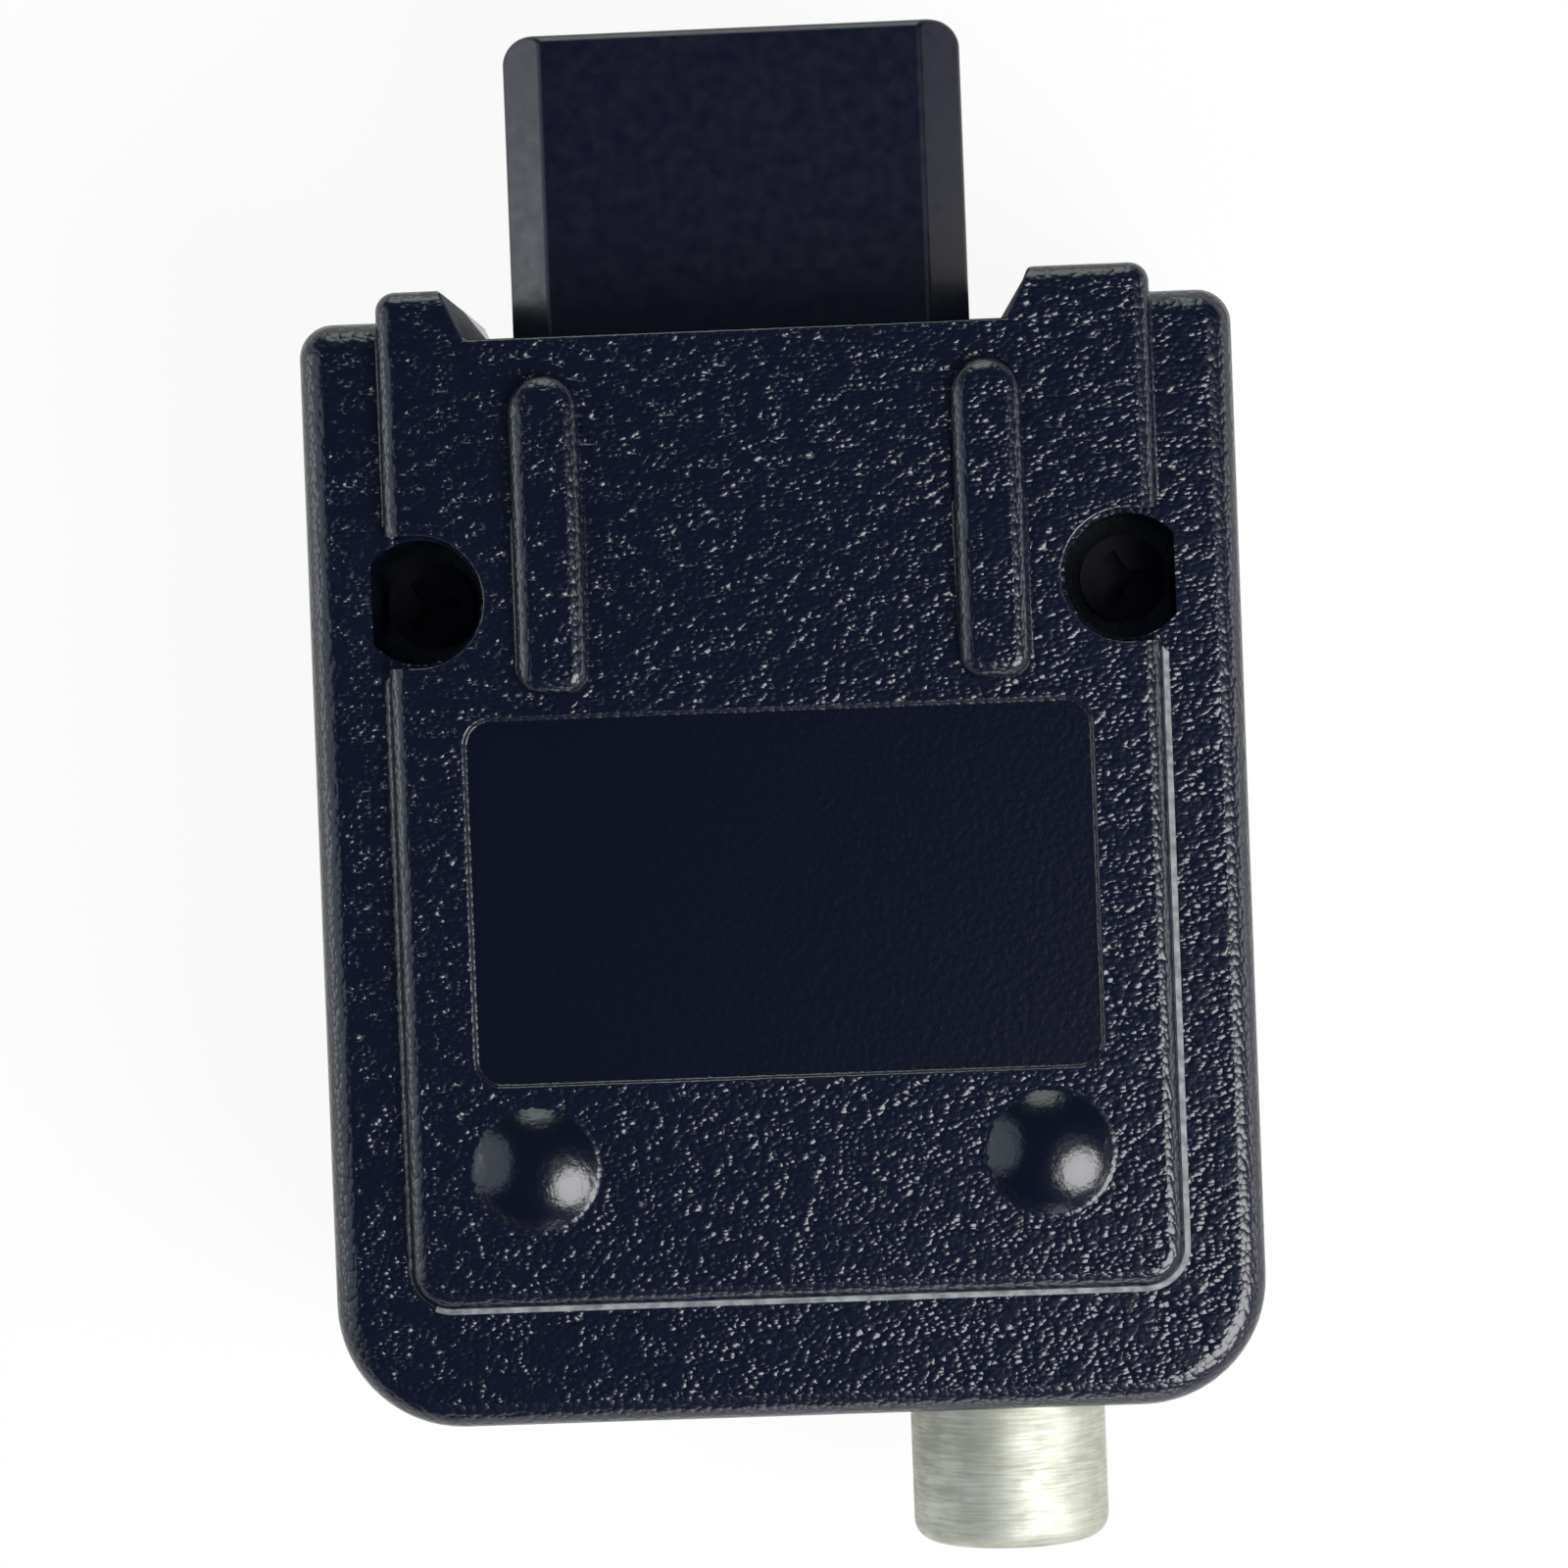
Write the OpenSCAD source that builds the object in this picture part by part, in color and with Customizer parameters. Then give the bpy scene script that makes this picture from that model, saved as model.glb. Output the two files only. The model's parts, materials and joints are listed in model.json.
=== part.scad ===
// Plug-in RF modulator for a game console.
// It lies with the flat face of its case down and the label side up. +Y points to the plug, -Y to the
// jack, and the origin is under the middle of the whole object.

/* [Case] */
// Width of the case
case_w = 38.3; // [33:0.1:46]
// Length of the case, from the jack face to the seat edge beside the plug
case_l = 44.65; // [38:0.05:54]
// Height of the front cover, up to the seam and the axis of the plug and the jack
seam_z = 11; // [9.5:0.1:13]
// Height of the back cover, from the seam to the rim of the label side
back_h = 9; // [8:0.1:12]
// Thickness of the case walls
wall_t = 1.6; // [1.2:0.1:1.8]
// Corner radius at the jack end
rear_corner_r = 5.2; // [3:0.1:7]
// Corner radius at the plug end
front_corner_r = 1.4; // [0.8:0.1:2.5]
// Rounding of the outer edges
edge_r = 1.2; // [0.3:0.1:2]
// Gap that shows at the seam
seam_gap = 0.15; // [0.05:0.05:0.4]
// Height of the lip behind the seam
lip_h = 1; // [0.5:0.1:1.6]

/* [Raised plate] */
// Height of the plate above the rim
plate_h = 1; // [0.6:0.1:2]
// Width of the rim at each side of the plate
side_rim = 3.35; // [2.6:0.05:4]
// Width of the rim at the jack end
rear_rim = 5.05; // [2:0.05:8]
// Corner radius of the plate at the jack end
plate_corner_r = 1.6; // [0.8:0.1:4]
// Rounding of the plate's upper edges
plate_edge_r = 0.75; // [0.2:0.05:1.2]
// How far the two horns stand past the seat edge
horn_l = 2.1; // [1.4:0.1:4]
// Radius of the horns' outer corners
horn_corner_r = 0.8; // [0.3:0.05:1.5]
// How far the rim stands past the seat edge
rim_step = 1; // [0.2:0.1:1.3]
// Room between the plug and each horn at the seat edge
horn_room = 1.5; // [0.6:0.1:2]
// How much each horn's inner face leans away from the plug towards its tip
horn_slant = 0.95; // [0.2:0.05:1.4]

/* [Label side] */
// Length of the two ribs
rib_l = 13; // [6:0.5:14]
// Width of the two ribs
rib_w = 2.9; // [2:0.1:4]
// Height of the ribs above the plate
rib_h = 0.9; // [0.4:0.1:1.5]
// Distance between the middle lines of the ribs
rib_spacing = 18; // [10:0.5:20]
// Rounding of the ribs' upper edges
rib_round_r = 0.7; // [0.2:0.1:0.8]
// Distance of the ribs from the seat edge
rib_back = 1.6; // [1:0.1:3]
// Diameter of the two round domes
dome_d = 5.2; // [3:0.1:6]
// Height of the domes above the plate
dome_h = 0.9; // [0.4:0.1:1.5]
// Distance between the two domes
dome_spacing = 21; // [12:0.5:24]
// Distance of the domes from the plate's edge at the jack end
dome_back = 5.65; // [4:0.05:6.2]
// Distance of the bare label recess from the plate's sides
label_side = 3; // [2:0.1:6]
// Distance of the label recess from the seat edge
label_back = 15.5; // [15:0.1:17]
// Distance of the label recess from the plate's edge at the jack end
label_rear = 9.1; // [8.8:0.1:14]
// Corner radius of the label recess
label_corner_r = 1.1; // [0.4:0.1:3]
// Depth of the label recess
label_depth = 0.25; // [0.1:0.05:0.6]
// Width of the bare oval recess in the flat face
badge_w = 24; // [16:0.5:30]
// Length of the bare oval recess in the flat face
badge_l = 11; // [6:0.5:14]
// Depth of the oval recess
badge_depth = 0.3; // [0.1:0.05:0.6]

/* [Case screws] */
// Distance of the screws from the sides of the case
screw_side = 4.65; // [4.1:0.05:5.2]
// Distance of the screws from the seat edge
screw_back = 10.6; // [10:0.1:12]
// Gap round the screw heads in their wells
head_gap = 0.75; // [0.3:0.05:0.9]
// Gap between the screw heads and the flat outer side of their wells
head_side_gap = 0.15; // [0.1:0.05:0.3]
// Ledge round the wells in the notches of the plate
notch_ledge = 0.15; // [0.1:0.05:0.8]
// Height of the seat of the screw heads above the seam
head_seat_h = 2.6; // [2:0.1:4]
// Diameter of the screw heads
head_d = 3.6; // [3.4:0.1:4.2]
// Height of the screw heads
head_h = 1.6; // [1:0.1:2.4]
// Diameter of the screw shanks
shank_d = 2.5; // [2:0.1:2.6]
// Length of the screws under their heads
shank_l = 9; // [6:0.5:10.5]

/* [Plug] */
// Width of the plug
plug_w = 19.2; // [17:0.1:20]
// Thickness of the plug
plug_h = 9.6; // [9.2:0.1:11]
// Reach of the plug past the seat edge
plug_reach = 13; // [11:0.5:18]
// Place of the plug's middle, measured across the case from its middle
plug_x = -1.1; // [-1.6:0.1:0.6]
// Width of the long chamfers on the label side
plug_chamfer_w = 1.65; // [0.4:0.05:2]
// Height of the long chamfers on the label side
plug_chamfer_h = 1.3; // [0.4:0.1:3]
// Corner radius of the plug's end, seen on the label side
plug_corner_r = 1.1; // [0.4:0.1:2]
// Wall of the plug
plug_wall = 1.3; // [1:0.1:1.5]
// Depth of the plug's mouth
mouth_depth = 10; // [8:0.5:10.5]
// Clear height between the two rows of contacts
contact_gap = 4.6; // [4.3:0.1:4.8]
// Spacing of the six contacts in a row
contact_pitch = 2.5; // [2:0.1:2.6]

/* [Jack] */
// Diameter of the jack's sleeve
jack_d = 8.3; // [7.6:0.1:9]
// Reach of the jack past the case
jack_reach = 6.55; // [5:0.05:10]
// Distance of the jack's axis from the side of the case
jack_side = 10.75; // [10:0.05:12]
// Wall of the sleeve
jack_wall = 1; // [0.6:0.1:1.1]
// Rounding of the sleeve's end
jack_end_r = 0.9; // [0.2:0.05:0.95]
// Bore of the centre contact
pin_bore_d = 3.3; // [3:0.05:3.6]
// Depth of the centre contact's bore
pin_bore_l = 7; // [5:0.5:7.5]

/* [Channel switch] */
// Travel of the knob between its two positions
switch_travel = 2; // [1:0.1:2.4]
// Distance of the switch's middle from the side of the shield frame
switch_side = 7.5; // [5:0.1:8]
// Width of the knob
knob_w = 2; // [1.4:0.1:2.4]
// Height of the knob
knob_h = 1.8; // [1.2:0.1:2]
// How far the knob stays behind the jack face of the case
knob_recess = 0.3; // [0:0.1:1]
// Width of the switch
switch_w = 8.6; // [8.4:0.1:9.4]
// Height of the switch
switch_h = 3.8; // [3.4:0.1:4.4]

/* [Board and shield] */
// Thickness of the circuit board
board_t = 1.6; // [1:0.1:2]
// Gap between the shield frame and the side walls of the case
frame_side_gap = 2.05; // [0.5:0.05:3]
// Gap between the shield frame and the jack wall of the case
frame_rear_gap = 2.2; // [1.4:0.1:4]
// Gap between the shield frame and the screw posts
frame_post_gap = 0.85; // [0.3:0.05:3]
// Gap between the shield frame and the wall of the label side
frame_top_gap = 1.2; // [0.6:0.1:1.8]
// Gap between the shield frame and the flat wall
frame_low_gap = 2; // [0.6:0.1:3]
// Sheet thickness of the shield frame and the lids
sheet_t = 0.4; // [0.2:0.05:0.5]
// Width of the coil cans
can_w = 5.2; // [4:0.1:6]
// Gap between the coil cans and the upper lid
can_gap = 1; // [0.3:0.1:2]
// Diameter of the electrolytic capacitors
capacitor_d = 4; // [3:0.1:4.4]
// Length of the electrolytic capacitors
capacitor_l = 6.5; // [4:0.1:7]

/* [Hidden] */
$fn = 64;

// Clearance between parts that are fitted together
fit = 0.1;
// Overrun of the cuts
over = 0.5;

// Width, length and height of the recesses, wells and horns that follow from the sizes above
case_h = seam_z + back_h;
plate_half_w = case_w / 2 - side_rim;
label_w = 2 * plate_half_w - 2 * label_side;
label_l = case_l - rear_rim - label_back - label_rear;
horn_gap = plug_w + 2 * horn_room;
well_d = head_d + 2 * head_gap;
notch_d = well_d + 2 * notch_ledge;

// Places along the length, with the whole object centred on the origin
rear_y = (jack_reach - case_l - plug_reach) / 2;
seat_y = rear_y + case_l;
rim_y = seat_y + rim_step;
horn_y = seat_y + horn_l;
plug_end_y = seat_y + plug_reach;
jack_end_y = rear_y - jack_reach;
inner_front_y = seat_y - wall_t;
inner_rear_y = rear_y + wall_t;

// Heights of the case
plate_z = case_h + plate_h;
ceiling_z = case_h - wall_t;
front_top_z = seam_z - seam_gap;

// Case
inner_corner_r = 0.6;
outer_edge_r = min(edge_r, front_corner_r - fit / 2);
top_edge_r = min(plate_edge_r, horn_corner_r - fit / 2, plate_h - fit);
plate_rear_y = rear_y + rear_rim;
rib_rear_corner_r = 0.9;
rib_front_corner_r = rib_w / 2 - fit / 2;
rib_edge_r = min(rib_round_r, rib_h - fit);
screw_x = case_w / 2 - screw_side;
screw_y = seat_y - screw_back;
post_wall = 0.9;
post_r = well_d / 2 + post_wall;
front_post_d = 5.2;
head_seat_z = seam_z + head_seat_h;
tip_l = 1.2;
drive_slot_w = 0.6;
drive_depth_share = 0.5;

// Plug
inner_chamfer_share = 0.6;
flange_step = 0.9;
flange_t = 1.4;
root_l = 6;
shell_y = inner_front_y - root_l;
carrier_step = 0.4;
carrier_y = shell_y + carrier_step;
mouth_y = plug_end_y - mouth_depth;
carrier_h = plug_h - 2 * plug_wall - 2 * fit;
contact_n = 6;
contact_w = 0.9;
contact_t = 0.3;
contact_bulge = 0.5;
contact_z = contact_gap / 2 + contact_bulge;
contact_tail_l = 2.1;
comb_w = 0.8;
comb_h = carrier_h / 2 - contact_z;
tip_back = 1.5;
contact_crown_l = 2.5;
contact_bend_l = 5.5;
tongue_margin = 1.5;
tongue_w = (contact_n - 1) * contact_pitch + 2 * tongue_margin;
tongue_back = 2.4;
tongue_y = carrier_y - tongue_back;
keeper_t = 1.1;
keeper_w = 2.4;

// Shield and board
board_top_z = seam_z + board_t / 2;
board_low_z = seam_z - board_t / 2;
frame_w = case_w - 2 * wall_t - 2 * frame_side_gap;
frame_y0 = inner_rear_y + frame_rear_gap;
frame_y1 = screw_y - post_r - frame_post_gap;
frame_l = frame_y1 - frame_y0;
frame_top_z = ceiling_z - frame_top_gap;
frame_low_z = wall_t + frame_low_gap;
lid_t = 0.3;
skirt_h = 3;
finger_n = 5;
finger_gap = 0.8;
board_w = frame_w - 2 * sheet_t - 2 * fit;
board_y0 = frame_y0 + sheet_t + fit;
board_y1 = frame_y1 - sheet_t - fit;
support_w = 1.2;
support_l = 24;
support_shares = [0.27, 0.73];
part_gap = 0.05;

// Jack
jack_x = case_w / 2 - jack_side;
jack_r = jack_d / 2;
jack_flange_step = 0.7;
jack_flange_r = jack_r + jack_flange_step;
jack_flange_t = 0.8;
jack_root_step = 0.2;
jack_neck_r = 3;
jack_neck_bore_r = 2.2;
jack_neck_l = 1.4;
jack_lip = 0.4;
insulator_lip = 0.8;
pin_wall = 0.3;
pin_r = pin_bore_d / 2;
pin_tail_r = 0.5;
pin_y = jack_end_y + jack_lip + insulator_lip;
jack_notch_w = 9.4;
jack_notch_l = 2.2;
lock_ring_r = 3.7;
lock_ring_t = 0.5;

// Channel switch
switch_x = switch_side - frame_w / 2;
switch_depth = 3.5;
switch_sheet_t = 0.3;
switch_y0 = frame_y0 + sheet_t + fit;
switch_y1 = switch_y0 + switch_depth;
switch_z = board_top_z + switch_h / 2;
slider_w = 4.4;
slider_l = 1.6;
base_t = 0.8;
knob_x = switch_x - switch_travel / 2;
terminal_w = 1;
terminal_t = 0.2;
terminal_pitch = 2.5;
terminal_h = 2.2;
leg_t = 0.2;
foot_l = 0.9;
window_gap = 0.5;
window_dish = 1;
window_dish_depth = 0.5;

// Parts on the board, placed as shares of the board's width and length
coil_shares = [[-0.34, 0.52], [-0.1, 0.52]];
can_h = frame_top_z - board_top_z - can_gap;
can_wall = 0.25;
can_hole_d = 3;
bobbin_d = 2.6;
bobbin_base_t = 0.8;
core_d = 1.7;
core_l_share = 0.6;
winding_t = 0.5;
winding_h_share = 0.4;
ic_share = [0.24, 0.66];
ic_w = 9.9;
ic_l = 3.9;
ic_h = 1.5;
ic_foot = 0.1;
ic_lead_n = 8;
ic_lead_pitch = 1.27;
ic_lead_w = 0.4;
ic_lead_t = 0.2;
ic_lead_reach = 1.05;
crystal_share = [0.22, 0.36];
crystal_w = 10.4;
crystal_l = 4.4;
crystal_h = 3.4;
crystal_rim = 0.4;
capacitor_shares = [[-0.34, 0.7], [-0.16, 0.7], [0.36, 0.7]];
capacitor_edge_r = 0.4;
crimp_depth = 0.25;
crimp_back = 1.2;
capacitor_wire_d = 0.5;
chip_l = 2;
chip_w = 1.25;
resistor_h = 0.6;
chip_capacitor_h = 0.9;
upper_capacitor_shares = [[0.06, 0.36], [0.17, 0.36], [0.39, 0.4], [-0.34, 0.82], [-0.22, 0.82]];
lower_capacitor_shares = [[-0.4, 0.3], [-0.28, 0.3], [0.05, 0.66], [0.14, 0.66]];
upper_resistor_shares = [[0.28, 0.36], [-0.1, 0.82], [0, 0.9], [0.08, 0.9], [0.16, 0.9]];
lower_resistor_shares = [[-0.16, 0.3], [-0.04, 0.3], [-0.4, 0.44], [-0.28, 0.44], [-0.16, 0.44]];
choke_shares = [[-0.06, 0.28], [0.36, 0.9]];
choke_d = 2.2;
choke_l = 4.6;
choke_waist = 0.2;
choke_wire_d = 0.4;
choke_wire_l = 0.9;

case_colour = "#24252c";
plug_colour = "#33353f";
metal_colour = "#b9bab0";
tin_colour = "#a9adb0";
brass_colour = "#c9a24f";
insulator_colour = "#e6e2d6";
board_colour = "#9a7b45";
dark_colour = "#1b1b1d";

// Block from its lowest corner to its highest
module block(low, high) {
    translate(low) cube(high - low);
}

// Outline drawn in X and Z, drawn out along Y
module along_y(y0, y1) {
    translate([0, y1, 0]) rotate([90, 0, 0]) linear_extrude(y1 - y0) children();
}

// Outline drawn in Y and Z, drawn out along X on both sides of x
module along_x(x, w) {
    translate([x - w / 2, 0, 0]) rotate([90, 0, 90]) linear_extrude(w) children();
}

// Round piece on the jack's axis, drawn as radius and distance along +Y from y
module on_jack_axis(y) {
    translate([jack_x, y, seam_z]) rotate([-90, 0, 0]) rotate_extrude() children();
}

// Quarter disc that rounds an edge
module quarter(r) {
    intersection() {
        circle(r);
        square(r);
    }
}

// Plan of a box with one corner radius at its rear and another at its front
module plan(w, y0, y1, rear_r, front_r) {
    translate([-w / 2, y0 + rear_r]) square([w, y1 - y0 - rear_r - front_r]);
    translate([rear_r - w / 2, y0]) square([w - 2 * rear_r, rear_r]);
    translate([front_r - w / 2, y1 - front_r]) square([w - 2 * front_r, front_r]);
    for (side = [-1, 1]) {
        translate([side * (w / 2 - rear_r), y0 + rear_r]) circle(rear_r);
        translate([side * (w / 2 - front_r), y1 - front_r]) circle(front_r);
    }
}

// Plan with rounded corners at its front only
module front_plan(w, y0, y1, r) {
    translate([-w / 2, y0]) square([w, y1 - y0 - r]);
    translate([r - w / 2, y1 - r]) square([w - 2 * r, r]);
    for (side = [-1, 1]) translate([side * (w / 2 - r), y1 - r]) circle(r);
}

// Slab on that plan with its upper edges rounded by e
module rounded_slab(w, y0, y1, rear_r, front_r, h, e) {
    linear_extrude(h - e) plan(w, y0, y1, rear_r, front_r);
    translate([0, 0, h - e]) {
        linear_extrude(e) plan(w - 2 * e, y0 + e, y1 - e, rear_r - e, front_r - e);
        for (side = [0, 1]) mirror([side, 0, 0]) {
            translate([w / 2 - e, 0, 0]) along_y(y0 + rear_r, y1 - front_r) quarter(e);
            translate([w / 2 - rear_r, y0 + rear_r, 0]) rotate([0, 0, -90])
                rotate_extrude(angle = 90) translate([rear_r - e, 0]) quarter(e);
            translate([w / 2 - front_r, y1 - front_r, 0])
                rotate_extrude(angle = 90) translate([front_r - e, 0]) quarter(e);
        }
        translate([0, y1 - e, 0]) along_x(0, w - 2 * front_r) quarter(e);
        rotate([0, 0, 180]) translate([0, -y0 - e, 0]) along_x(0, w - 2 * rear_r) quarter(e);
    }
}

// Space between the horns, past the seat edge
module seat_gap(z0, z1) {
    half_w = horn_gap / 2;
    reach = horn_l + over;
    lean = horn_slant * reach / horn_l;
    translate([plug_x, seat_y, z0]) linear_extrude(z1 - z0)
        polygon([[-half_w, 0], [half_w, 0], [half_w + lean, reach], [-half_w - lean, reach]]);
}

// Space inside the case walls
module cavity(z0, z1) {
    translate([0, 0, z0]) linear_extrude(z1 - z0)
        plan(case_w - 2 * wall_t, inner_rear_y, inner_front_y, rear_corner_r - wall_t, inner_corner_r);
}

// Outline of half the wall's thickness, where the lip of one shell meets the other
module lip_plan(gap) {
    inset = wall_t / 2 + gap;
    difference() {
        plan(case_w - 2 * inset, rear_y + inset, seat_y - inset, rear_corner_r - inset, inner_corner_r);
        plan(case_w - 2 * wall_t, inner_rear_y, inner_front_y, rear_corner_r - wall_t, inner_corner_r);
    }
}

// Section of the plug, drawn in X and Z and drawn in by an inset
module plug_section(inset, chamfer_share = 1) {
    half_w = plug_w / 2 - inset;
    half_h = plug_h / 2 - inset;
    cw = plug_chamfer_w * chamfer_share;
    ch = plug_chamfer_h * chamfer_share;
    translate([plug_x, seam_z])
        polygon([[-half_w, -half_h], [half_w, -half_h], [half_w, half_h - ch],
            [half_w - cw, half_h], [cw - half_w, half_h], [-half_w, half_h - ch]]);
}

// Openings that both shells share: for the plug, the jack and the space between the horns
module shell_openings() {
    seat_gap(-over, plate_z + rib_h + over);
    along_y(inner_front_y - over, horn_y + over) plug_section(-fit);
    translate([0, rear_y - over, 0]) on_jack_axis(0) square([jack_r + fit, wall_t + 2 * over]);
}

// Both posts' places
module at_screws() {
    for (side = [-1, 1]) translate([side * screw_x, screw_y, 0]) children();
}

// Blocks behind the plug's flange that keep it against the front wall
module flange_keepers(z0, z1) {
    reach = plug_w / 2 + flange_step + keeper_w / 2;
    for (side = [-1, 1]) {
        x = plug_x + side * (plug_w / 2 + fit + keeper_w / 2);
        y = inner_front_y - flange_t - 2 * fit - keeper_t;
        translate([x - keeper_w / 2, y, z0]) cube([keeper_w, keeper_t, z1 - z0]);
    }
}

// Bars that hold the shield between the shells
module shield_supports(z0, z1) {
    for (share = support_shares) {
        y = frame_y0 + share * frame_l;
        block([-support_l / 2, y - support_w / 2, z0], [support_l / 2, y + support_w / 2, z1]);
    }
}

// Raised plate with its two open notches round the screw wells
module plate() {
    difference() {
        translate([0, 0, case_h])
            rounded_slab(2 * plate_half_w, plate_rear_y, horn_y, plate_corner_r, horn_corner_r,
                plate_h, top_edge_r);
        for (side = [0, 1]) mirror([side, 0, 0]) translate([screw_x, screw_y, case_h]) {
            cylinder(h = plate_h + over, d = notch_d);
            translate([0, -notch_d / 2, 0]) cube([side_rim + screw_side, notch_d, plate_h + over]);
        }
    }
}

// Rib with rounded upper edges
module rib(x) {
    y1 = seat_y - rib_back;
    translate([x, 0, plate_z])
        rounded_slab(rib_w, y1 - rib_l, y1, rib_rear_corner_r, rib_front_corner_r, rib_h, rib_edge_r);
}

// Cap of a sphere with its foot on the plate
module dome(x) {
    foot_r = dome_d / 2;
    ball_r = (foot_r * foot_r + dome_h * dome_h) / (2 * dome_h);
    translate([x, plate_rear_y + dome_back, plate_z]) rotate_extrude() intersection() {
        translate([0, dome_h - ball_r]) circle(ball_r);
        square([foot_r, dome_h]);
    }
}

// Opening in the jack face that clears the knob over its travel by a margin, cut as deep as y
module switch_window(margin, y) {
    half_w = (knob_w + switch_travel) / 2 + margin;
    half_h = knob_h / 2 + margin;
    block([switch_x - half_w, rear_y - over, switch_z - half_h], [switch_x + half_w, y, switch_z + half_h]);
}

// Round wells above the screw heads, each with a flat side towards the side of the case
module screw_wells() {
    for (side = [0, 1]) mirror([side, 0, 0]) translate([screw_x, screw_y, head_seat_z])
        intersection() {
            cylinder(h = plate_z - head_seat_z, d = well_d);
            translate([-well_d, -well_d, 0])
                cube([well_d + head_d / 2 + head_side_gap, 2 * well_d, plate_z]);
        }
}

module back_cover() color(case_colour) {
    difference() {
        union() {
            difference() {
                union() {
                    translate([0, 0, seam_z])
                        rounded_slab(case_w, rear_y, rim_y, rear_corner_r, front_corner_r,
                            back_h, outer_edge_r);
                    translate([0, 0, seam_z]) linear_extrude(back_h)
                        front_plan(2 * plate_half_w, inner_front_y, horn_y, horn_corner_r);
                    plate();
                    for (side = [-1, 1]) {
                        rib(side * rib_spacing / 2);
                        dome(side * dome_spacing / 2);
                    }
                }
                cavity(seam_z - over, ceiling_z);
            }
            at_screws() translate([0, 0, seam_z])
                cylinder(h = back_h - wall_t / 2, r = post_r);
            flange_keepers(seam_z + fit, case_h - wall_t / 2);
            shield_supports(frame_top_z + lid_t, case_h - wall_t / 2);
        }
        shell_openings();
        translate([0, 0, seam_z - over]) linear_extrude(lip_h + fit + over) lip_plan(0);
        translate([0, 0, seam_z - over]) linear_extrude(over)
            plan(case_w, rear_y, rim_y, rear_corner_r, front_corner_r);
        screw_wells();
        at_screws() translate([0, 0, seam_z - over])
            cylinder(h = head_seat_h + 2 * over, d = shank_d + 2 * fit);
        translate([0, seat_y - label_back - label_l, plate_z - label_depth])
            linear_extrude(label_depth + over)
            plan(label_w, 0, label_l, label_corner_r, label_corner_r);
        switch_window(window_gap, inner_rear_y + over);
        switch_window(window_gap + window_dish, rear_y + window_dish_depth);
    }
}

module front_cover() color(case_colour) {
    difference() {
        union() {
            difference() {
                union() {
                    translate([0, 0, front_top_z]) mirror([0, 0, 1])
                        rounded_slab(case_w, rear_y, rim_y, rear_corner_r, front_corner_r,
                            front_top_z, outer_edge_r);
                    translate([0, 0, outer_edge_r]) linear_extrude(front_top_z - outer_edge_r)
                        front_plan(2 * plate_half_w, inner_front_y, horn_y, horn_corner_r);
                }
                cavity(wall_t, seam_z + over);
            }
            translate([0, 0, seam_z - lip_h]) linear_extrude(2 * lip_h) lip_plan(fit);
            at_screws() translate([0, 0, wall_t / 2]) cylinder(h = seam_z - wall_t / 2, d = front_post_d);
            flange_keepers(wall_t / 2, seam_z - fit);
            shield_supports(wall_t / 2, frame_low_z - lid_t);
        }
        shell_openings();
        at_screws() translate([0, 0, wall_t]) cylinder(h = seam_z, d = shank_d + 2 * fit);
        translate([0, (rear_y + seat_y - badge_l) / 2, -over]) linear_extrude(badge_depth + over)
            plan(badge_w, 0, badge_l, badge_l / 2 - fit, badge_l / 2 - fit);
    }
}

// Screw with a shallow three-armed recess in its head
module case_screw() {
    difference() {
        rotate_extrude() polygon([[0, -shank_l], [shank_d / 6, -shank_l], [shank_d / 2, tip_l - shank_l],
            [shank_d / 2, 0], [head_d / 2, 0], [head_d / 2, head_h], [0, head_h]]);
        for (turn = [0, 120, 240]) rotate([0, 0, turn])
            translate([0, -drive_slot_w / 2, head_h * (1 - drive_depth_share)])
            cube([head_d / 3, drive_slot_w, head_h]);
    }
}

module case_screws() color(metal_colour)
    at_screws() translate([0, 0, head_seat_z]) case_screw();

module plug_shell() color(plug_colour) {
    half_w = plug_w / 2;
    half_h = plug_h / 2;
    y1 = inner_front_y - fit;
    difference() {
        union() {
            difference() {
                translate([plug_x, 0, seam_z - half_h]) linear_extrude(plug_h)
                    front_plan(plug_w, shell_y, plug_end_y, plug_corner_r);
                for (side = [0, 1]) translate([plug_x, 0, seam_z]) mirror([side, 0, 0])
                    along_y(shell_y - over, plug_end_y + over)
                    polygon([[half_w - plug_chamfer_w, half_h], [half_w, half_h - plug_chamfer_h],
                        [half_w + over, half_h - plug_chamfer_h], [half_w + over, half_h + over],
                        [half_w - plug_chamfer_w, half_h + over]]);
            }
            block([plug_x - half_w - flange_step, y1 - flange_t, seam_z - half_h - flange_step],
                [plug_x + half_w + flange_step, y1, seam_z + half_h + flange_step]);
        }
        along_y(shell_y - over, plug_end_y + over) plug_section(plug_wall, inner_chamfer_share);
    }
}

// Side view of an upper contact, in Y and in height above the seam
function contact_path() = let (
    foot = board_t / 2, rise = contact_z - contact_t / 2, inward = contact_gap / 2)
    [[tongue_y - contact_tail_l, foot], [tongue_y + fit, foot],
    [carrier_y - fit, rise], [plug_end_y - tip_back - contact_bend_l, rise],
    [plug_end_y - tip_back - contact_crown_l, inward], [plug_end_y - tip_back, rise]];

// Strip of even height on a path
function strip(path, t) =
    concat(path, [for (i = [len(path) - 1:-1:0]) path[i] + [0, t]]);

// Places of the contacts across the plug
function contact_x(i) = plug_x + (i - (contact_n - 1) / 2) * contact_pitch;

module plug_contacts() {
    for (i = [0:contact_n - 1]) along_x(contact_x(i), contact_w) polygon(strip(contact_path(), contact_t));
}

module upper_plug_contacts() color(brass_colour)
    translate([0, 0, seam_z]) plug_contacts();

module lower_plug_contacts() color(brass_colour)
    translate([0, 0, seam_z]) mirror([0, 0, 1]) plug_contacts();

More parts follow.
